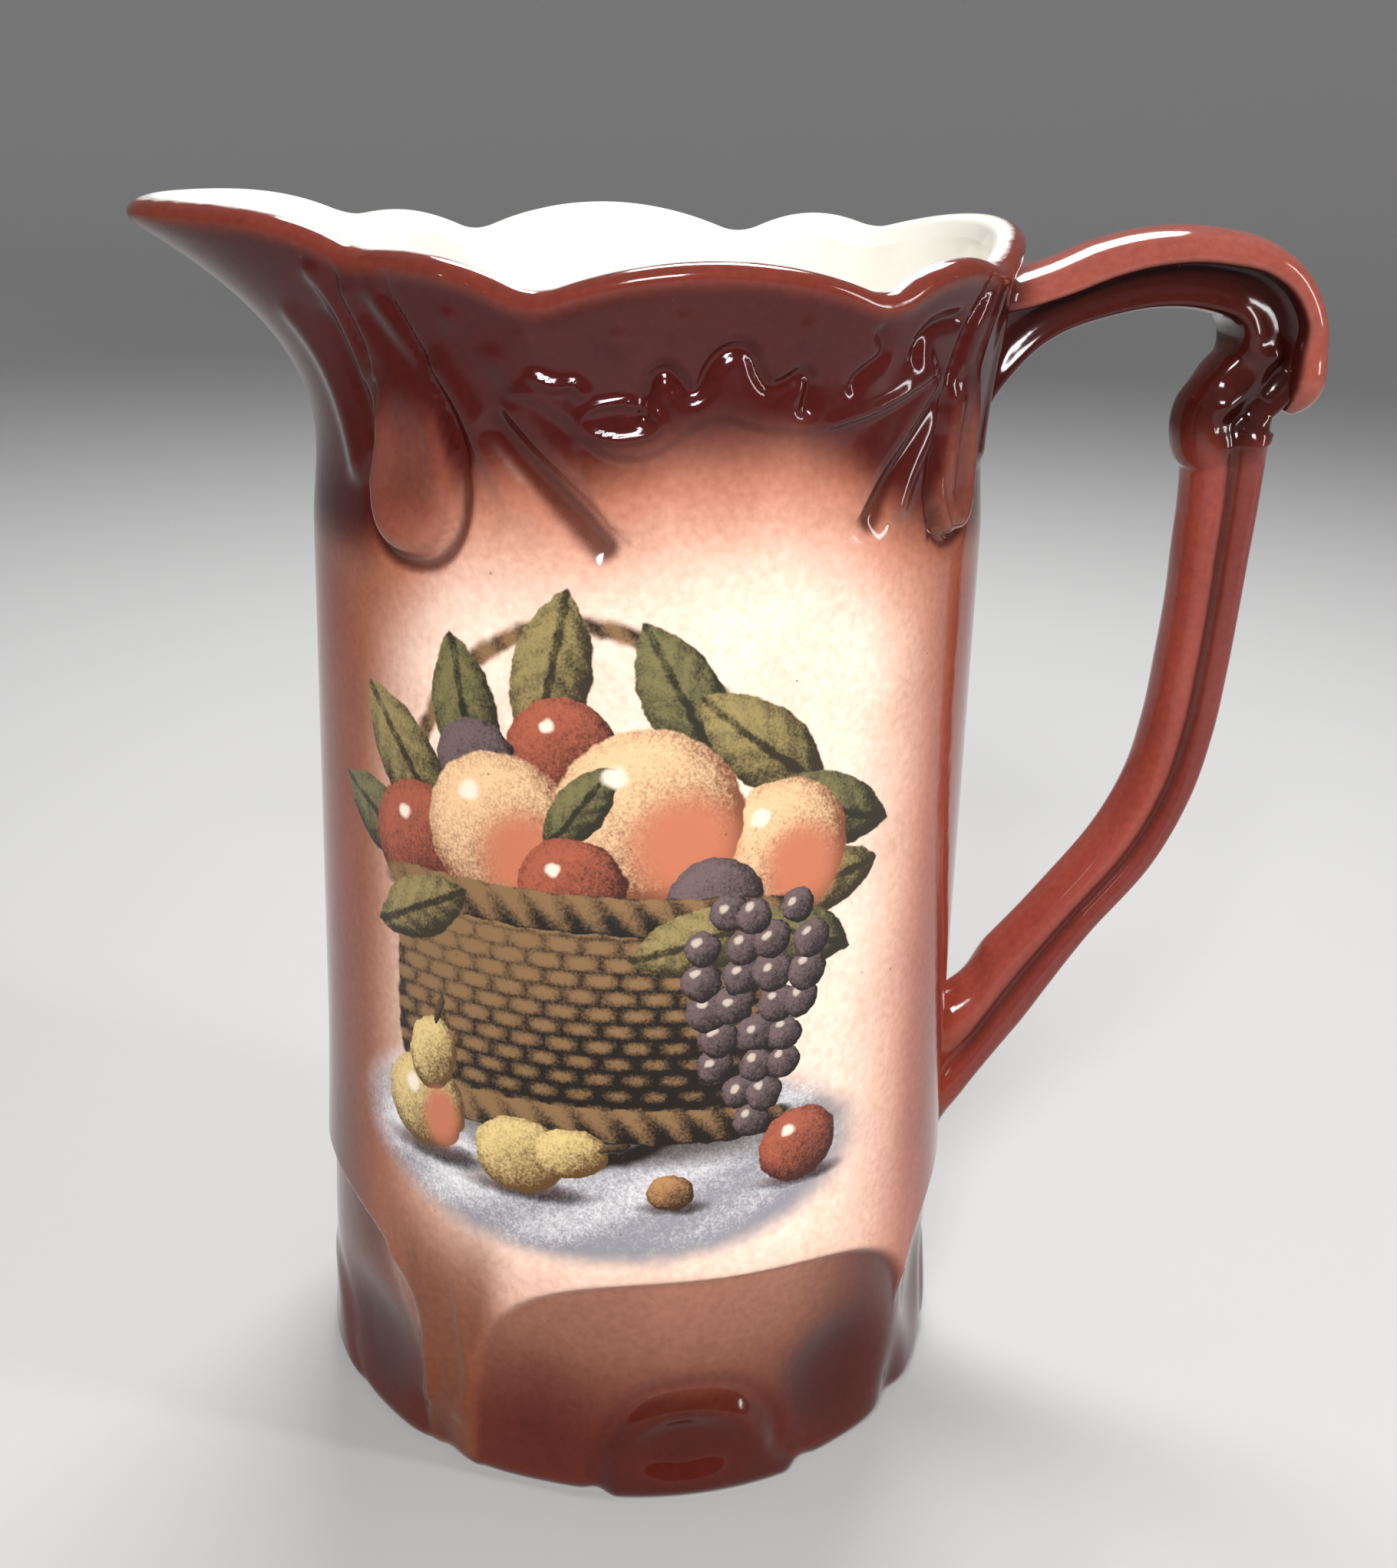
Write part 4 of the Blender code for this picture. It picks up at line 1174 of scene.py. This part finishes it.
ON_CLOTH = (
    ("oval", (-36.0, 52.6), (10.0, 1.9), 0.0, DAMSON, 0.9),
    ("oval", (-38.5, 59.5), (7.2, 7.0), 0.0, PEAR),
    ("oval", (-37.0, 67.4), (4.2, 5.8), -10.0, PEAR),
    ("oval", (-35.7, 74.2), (0.6, 2.4), -16.0, STALK),
    ("spot", (-35.6, 58.0), (3.4, 4.6), 0.0, CHEEK, 0.9),
    ("oval", (-22.0, 50.4), (10.0, 1.8), 0.0, DAMSON, 0.9),
    ("oval", (-23.0, 55.6), (6.8, 5.8), 0.0, PEAR),
    ("oval", (-15.8, 56.8), (5.4, 3.8), 8.0, PEAR),
    ("oval", (-9.8, 58.2), (2.2, 0.6), 12.0, STALK),
    ("oval", (-1.5, 49.4), (5.0, 1.2), 0.0, DAMSON, 0.9),
    ("oval", (-2.0, 51.6), (3.3, 2.8), 0.0, NUT),
    ("oval", (17.0, 51.4), (7.2, 1.4), 0.0, DAMSON, 0.9),
    ("oval", (16.5, 56.5), (6.2, 5.8), 0.0, APPLE),
    ("spot", (14.6, 58.8), (1.1, 0.9), 30.0, GLINT, 0.8),
    ("spot", (-40.8, 61.6), (1.2, 1.6), 0.0, GLINT, 0.8),
)
# Grapes: the level and the count of each row
BERRY_ROWS = ((92.0, 3), (87.6, 4), (83.2, 4), (78.8, 4), (74.4, 3), (70.0, 3), (65.8, 2), (61.8, 1))
BERRY_PITCH = 4.9       # millimetres from one grape to the next in a row


def berries():
    """The grapes: rows of ovals about the middle of the bunch, moved a little by sines, drawn from below."""
    made = []
    for number, (level, count) in enumerate(reversed(BERRY_ROWS)):
        for step in range(count):
            along = 9.0 + BERRY_PITCH * (step - (count - 1) / 2.0) + 0.7 * math.sin(2.0 * number + 3.0 * step)
            size = 2.75 + 0.25 * math.sin(5.0 * number + 7.0 * step)
            up = level + 0.5 * math.sin(4.0 * step + number)
            made.append(("oval", (along, up), (size, size), 0.0, DAMSON))
            made.append(("spot", (along - 0.8, level + 0.9), (0.75, 0.6), 30.0, GLINT, 0.8, 0.55))
    return made


FORM_COUNT = len((*BEHIND_BASKET, *ON_BASKET, *berries(), *ON_CLOTH))
print("still life:", FORM_COUNT, "forms round the basket")

# %% [markdown]
# ## Painting the still life
#
# The forms are laid over one another in order, from the cloth to what lies in front of the basket. The
# weave is a product of two waves, one along a row of strands and one across it, and a wave that runs
# slantwise twists the bands and the handle. Every place is first moved a little by noise, because the
# outlines of a print are never quite true.

# %% Still life
WEAVE_ROWS = 0.42       # rows for each millimetre
WEAVE_STRANDS = 0.62    # radians along a row for each millimetre
UNSTEADY = 1.3          # the most by which noise moves a place, in millimetres


def reaches(form, tile):
    """Whether a form comes within 6 mm of a tile; a form may stand out by a fifth beyond its half size."""
    (left, right), (bottom, top) = tile
    _, (along, up), half, *_ = form
    reach = 1.2 * max(half) + 6.0
    return left - reach < along < right + reach and bottom - reach < up < top + reach


def weave(tree, along, up, grain):
    """|sin(strand) * sin(row)|, with every other row of strands moved by half a strand, plus the grain."""
    row = worked(tree, "FLOOR", worked(tree, "MULTIPLY", up, WEAVE_ROWS))
    strand = waves(tree, along, row, WEAVE_STRANDS, math.pi / 2.0)
    across = worked(tree, "SINE", worked(tree, "MULTIPLY", up, WEAVE_ROWS * math.pi))
    height = worked(tree, "ABSOLUTE", worked(tree, "MULTIPLY", strand, across))
    return worked(tree, "ADD", worked(tree, "MULTIPLY_ADD", height, 0.95, -0.48), grain)


def basket_handle(tree, under, here, tile, grain):
    """An oval ring: the outer oval laid on, and what lay under it put back inside the inner oval."""
    if not reaches(HANDLE_OUTER, tile):
        return under
    off = vector_worked(tree, "SUBTRACT", here, (*HANDLE_OUTER[1], 0.0))
    shrunk = vector_worked(tree, "MULTIPLY", off, (1.0 / HANDLE_INNER[0], 1.0 / HANDLE_INNER[1], 0.0))
    inner = eased(tree, vector_worked(tree, "LENGTH", shrunk), 1.015, 0.985)
    return mixed(tree, laid_form(tree, under, here, HANDLE_OUTER, grain), under, inner)


def still_life(tree, under, along, up, grain, tile):
    """Cloth, shadow, fruit, basket with its weave, grapes and the things on the cloth, in that order."""
    joined = tree.nodes.new("ShaderNodeCombineXYZ")
    tree.links.new(along, joined.inputs[0])
    tree.links.new(up, joined.inputs[1])
    unsteady = noise(tree, joined.outputs[0], 0.42, output="Color")
    here = vector_worked(tree, "MULTIPLY_ADD", unsteady, (UNSTEADY, UNSTEADY, 0.0), joined.outputs[0])
    folds = worked(tree, "MULTIPLY_ADD", waves(tree, along, up, 0.30, -0.55), 0.16, grain)
    twist = worked(tree, "MULTIPLY_ADD", waves(tree, along, up, 1.25, 0.9), 0.30, grain)
    woven = weave(tree, along, up, grain)

    def laid(colour, forms, grain):
        for form in forms:
            if reaches(form, tile):
                colour = laid_form(tree, colour, here, form, grain)
        return colour

    colour = laid(laid(under, [CLOTH], folds), [SHADOW], grain)
    colour = basket_handle(tree, colour, here, tile, twist)
    colour = laid(colour, BEHIND_BASKET, grain)
    colour = laid(laid(colour, [BASKET], woven), [UPPER_BAND, LOWER_BAND], twist)
    return laid(colour, (*ON_BASKET, *berries(), *ON_CLOTH), grain)


print("the weave has", round(WEAVE_ROWS * 2.0 * BASKET[2][1]), "rows")

# %% [markdown]
# ## The glaze
#
# Everything above lies under one clear glaze, so one Principled shader can carry it all. Its base colour
# is built up in layers: the stain with its painted shade, a mottling, the print, fine specks, and along the
# rim the wear and the white of the inside. Each layer takes a colour and returns the next.

# %% Layers of the glaze
WHITE_GLAZE = paint(240, 237, 228)
WHITE_SHADE = paint(230, 224, 212)
WORN = paint(206, 172, 140)
SPECK = paint(96, 60, 44)
GLAZE_ROUGHNESS = 0.11
GLAZE_IOR = 1.38


def off_middle(tree, vector, scale, detail=3.0):
    """Noise less its average, 0.5."""
    return worked(tree, "SUBTRACT", noise(tree, vector, scale, detail), 0.5)


def mottled(tree, colour, where, grains):
    """The colour times 1 + strength * (clouds + grains), stronger in blue than in red."""
    cloudy = worked(tree, "MULTIPLY", off_middle(tree, where, 0.075 / MM), 0.5)
    both = worked(tree, "MULTIPLY_ADD", grains, 0.55, cloudy)
    tones = [worked(tree, "MULTIPLY_ADD", both, strength, 1.0) for strength in (0.75, 1.0, 1.15)]
    joined = tree.nodes.new("ShaderNodeCombineColor")
    for socket, tone in zip(joined.inputs, tones):
        tree.links.new(tone, socket)
    return mixed(tree, colour, joined.outputs[0], 1.0, blend="MULTIPLY")


def printed(tree, colour, where, grains, tile):
    """The still life on the unrolled wall: along is the turn times BASE_RADIUS, up is the height."""
    apart = tree.nodes.new("ShaderNodeSeparateXYZ")
    tree.links.new(where, apart.inputs[0])
    turn = worked(tree, "ARCTAN2", apart.outputs[0], worked(tree, "MULTIPLY", apart.outputs[1], -1.0))
    along = worked(tree, "MULTIPLY", turn, BASE_RADIUS)
    up = worked(tree, "MULTIPLY", apart.outputs[2], 1.0 / MM)
    coarse = worked(tree, "MULTIPLY", grains, 0.5)
    stipple = worked(tree, "MULTIPLY_ADD", off_middle(tree, where, 2.6 / MM, 1.0), 0.9, coarse)
    return still_life(tree, colour, along, up, stipple, tile)


def specked(tree, colour, where):
    """Fine dark dots: one in the middle of a few cells of a Voronoi pattern."""
    cells = tree.nodes.new("ShaderNodeTexVoronoi")
    cells.inputs["Scale"].default_value = 0.24 / MM
    tree.links.new(where, cells.inputs["Vector"])
    chosen = tree.nodes.new("ShaderNodeSeparateColor")
    tree.links.new(cells.outputs["Color"], chosen.inputs[0])
    small = eased(tree, cells.outputs["Distance"], 0.055, 0.035)
    dot = worked(tree, "MULTIPLY", small, eased(tree, chosen.outputs[0], 0.60, 0.62))
    return mixed(tree, colour, SPECK, worked(tree, "MULTIPLY", dot, 0.6))


def rimmed(tree, colour, where):
    """Worn flecks where the edge's share times noise is high, then white beyond a slightly uneven line."""
    _, edge = stored(tree, "worn edge")
    flecks = worked(tree, "MULTIPLY", edge, noise(tree, where, 0.42 / MM, 6.0))
    stretches = eased(tree, noise(tree, where, 0.05 / MM), 0.42, 0.56)
    flecks = worked(tree, "MULTIPLY", flecks, stretches)
    colour = mixed(tree, colour, WORN, eased(tree, flecks, 0.40, 0.46, 0.85))
    _, white = stored(tree, "white glaze")
    uneven = worked(tree, "MULTIPLY_ADD", off_middle(tree, where, 0.35 / MM), 0.2, white)
    return mixed(tree, colour, WHITE_GLAZE, eased(tree, uneven, 0.40, 0.58))


print("gloss: roughness", GLAZE_ROUGHNESS, "and index of refraction", GLAZE_IOR)

# %% [markdown]
# ## The finished glazes
#
# A material chains the layers, so that a glaze with a print or a worn rim is the plain one with a layer
# more. A clear coat over a rough body could be stacked as well, but a fired glaze shows only its own
# gloss: one low roughness all over, and a faint ripple from a bump, since it is never quite flat.

# %% Glazes
def glaze_material(name, tile=None, at_rim=False):
    """Stain with painted shade, mottling, print, specks, rim wear and white, under a clear, faintly wavy
    gloss.
    """
    material, tree, shader = new_material(name, GLAZE_ROUGHNESS, GLAZE_IOR)
    where = tree.nodes.new("ShaderNodeTexCoord").outputs["Object"]
    grains = off_middle(tree, where, 0.9 / MM, 2.0)
    # the stain attribute also holds the painted shade of the hollows, the grooves and the handle
    colour, _ = stored(tree, "stain")
    colour = mottled(tree, colour, where, grains)
    if tile:
        colour = printed(tree, colour, where, grains, tile)
    colour = specked(tree, colour, where)
    if at_rim:
        colour = rimmed(tree, colour, where)
    tree.links.new(colour, shader.inputs["Base Color"])
    ripple = tree.nodes.new("ShaderNodeBump")
    ripple.inputs["Strength"].default_value = 0.35
    ripple.inputs["Distance"].default_value = 0.12 * MM
    tree.links.new(noise(tree, where, 0.28 / MM, 2.0), ripple.inputs["Height"])
    tree.links.new(ripple.outputs[0], shader.inputs["Normal"])
    return material


def white_glaze_material():
    """The white inside: a faint cloudiness under the same clear gloss."""
    material, tree, shader = new_material("white glaze", GLAZE_ROUGHNESS, GLAZE_IOR)
    where = tree.nodes.new("ShaderNodeTexCoord").outputs["Object"]
    cloudy = eased(tree, noise(tree, where, 0.06 / MM), 0.3, 0.7)
    tree.links.new(mixed(tree, WHITE_GLAZE, WHITE_SHADE, cloudy), shader.inputs["Base Color"])
    return material


plain_glaze = glaze_material("stained glaze")
for mesh in (core_mesh, strap_mesh):
    mesh.materials.append(plain_glaze)
print("nodes of the plain glaze:", len(plain_glaze.node_tree.nodes))

# %% [markdown]
# ## Which face gets which glaze
#
# The still life could be one material on the whole wall, but its nodes are slow and too many for one
# shader. So the panel is divided into tiles, and each tile's faces have a material with only the forms
# that reach it. Beyond the forms all these materials are the same, so no edge shows between them. The
# rim has its own material with wear, and the inside and the underside are white.

# %% Faces and glazes
TILE_ALONG = (-62.0, -31.0, -5.0, 37.0)     # millimetres from the middle of the front
TILE_UP = (34.0, 70.0, 97.0, 140.0)         # millimetres above the table
RIM_BAND = 9.0                              # millimetres below the rim that may be worn
RIM_SLOT, WHITE_SLOT = 1, 2                 # slot 0 holds the plain glaze

grid_shape = body_rows.shape[:2]
along_grid = body_azimuth.reshape(grid_shape) * DEGREE
height_grid = body_rows[:, :, 2]
is_outside = np.array([kind == "outside" for kind in row_kinds])[:, None]
is_lip = np.array([kind == "lip" for kind in row_kinds])[:, None]
slot_grid = np.full(grid_shape, WHITE_SLOT)
slot_grid[np.broadcast_to(is_outside, grid_shape)] = 0
slot_grid[(is_outside & (under_rim.reshape(grid_shape) < RIM_BAND)) | is_lip] = RIM_SLOT
materials = [plain_glaze, glaze_material("rim glaze", at_rim=True), white_glaze_material()]
for left, right in zip(TILE_ALONG, TILE_ALONG[1:]):
    for bottom, top in zip(TILE_UP, TILE_UP[1:]):
        inside_tile = (along_grid >= left) & (along_grid < right) & is_outside
        inside_tile &= (height_grid >= bottom) & (height_grid < top)
        slot_grid[inside_tile] = len(materials)
        name = "printed glaze %d" % (len(materials) - WHITE_SLOT)
        materials.append(glaze_material(name, ((left, right), (bottom, top))))
for material in materials:
    body_mesh.materials.append(material)
slots = np.append(slot_grid[:-1].ravel(), np.full(2 * COLUMNS, WHITE_SLOT)).astype(np.int32)
body_mesh.polygons.foreach_set("material_index", slots)
print("faces for each material:", np.bincount(slots))

# %% [markdown]
# ## Studio
#
# The jug stands on a pale floor that sweeps up into a wall all round, so that no horizon shows from any
# side. It is a profile turned round the axis: flat, a quarter circle, then upright. The glaze needs
# something to mirror: a soft box at the upper left gives the long highlights, a second one behind lights
# the rim and the handle, and a narrow one at the right draws a line along the wall.

# %% Floor, light and world
INNER_REACH = 600.0     # millimetres out to the first ring of the flat floor
FLAT_REACH = 1100.0     # and out to its end
SWEEP = 500.0           # radius of the quarter circle
BACKDROP_HEIGHT = 1500.0
BACKDROP_SIDES = 72


def make_backdrop():
    """Profile (r, h): flat to FLAT_REACH, then r + S sin a and S (1 - cos a), then straight up."""
    bend = np.linspace(0.0, math.pi / 2.0, 12)
    radius = np.concatenate([[INNER_REACH], FLAT_REACH + SWEEP * np.sin(bend), [FLAT_REACH + SWEEP]])
    height = np.concatenate([[0.0], SWEEP * (1.0 - np.cos(bend)), [BACKDROP_HEIGHT]])
    turn = np.linspace(0.0, 2.0 * math.pi, BACKDROP_SIDES, endpoint=False)
    radius, turn, height = np.broadcast_arrays(radius[:, None], turn, height[:, None])
    number = np.arange(radius.size).reshape(radius.shape)
    beside = np.roll(number, -1, axis=1)
    quads = np.stack([number[:-1], number[1:], beside[1:], beside[:-1]], axis=-1).reshape(-1, 4)
    middle = np.stack([number[0], beside[0], np.full(BACKDROP_SIDES, radius.size)], axis=-1)
    vertices = np.vstack([place(radius, turn, height).reshape(-1, 3), [(0.0, 0.0, 0.0)]]) * MM
    mesh = bpy.data.meshes.new("backdrop")
    mesh.from_pydata(vertices.tolist(), [], quads.tolist() + middle.tolist())
    mesh.shade_smooth()
    material, _, shader = new_material("backdrop", 0.85)
    shader.inputs["Base Color"].default_value = (0.47, 0.465, 0.46, 1.0)
    mesh.materials.append(material)
    linked("backdrop", mesh)


def area_light(name, where, aim, size, power):
    """A rectangular soft light, its width and height in millimetres, at one place and facing another."""
    data = bpy.data.lights.new(name, "AREA")
    data.shape = "RECTANGLE"
    data.size, data.size_y = size[0] * MM, size[1] * MM
    data.energy = power
    made = linked(name, data)
    made.location = Vector(where) * MM
    made.rotation_mode = "QUATERNION"
    made.rotation_quaternion = (Vector(aim) - Vector(where)).to_track_quat("-Z", "Y")


make_backdrop()
area_light("key", (-160.0, -640.0, 560.0), (0.0, 0.0, 90.0), (260.0, 200.0), 7.2)
area_light("back", (120.0, 420.0, 640.0), (0.0, 0.0, 120.0), (360.0, 200.0), 5.4)
area_light("side", (640.0, -360.0, 300.0), (0.0, 0.0, 90.0), (80.0, 420.0), 2.4)
world = bpy.data.worlds.new("studio")
world.use_nodes = True
sky = world.node_tree.nodes["Background"]
sky.inputs["Color"].default_value = (0.92, 0.94, 1.0, 1.0)
sky.inputs["Strength"].default_value = 0.30
bpy.context.scene.world = world
bpy.context.scene.view_settings.view_transform = "Standard"
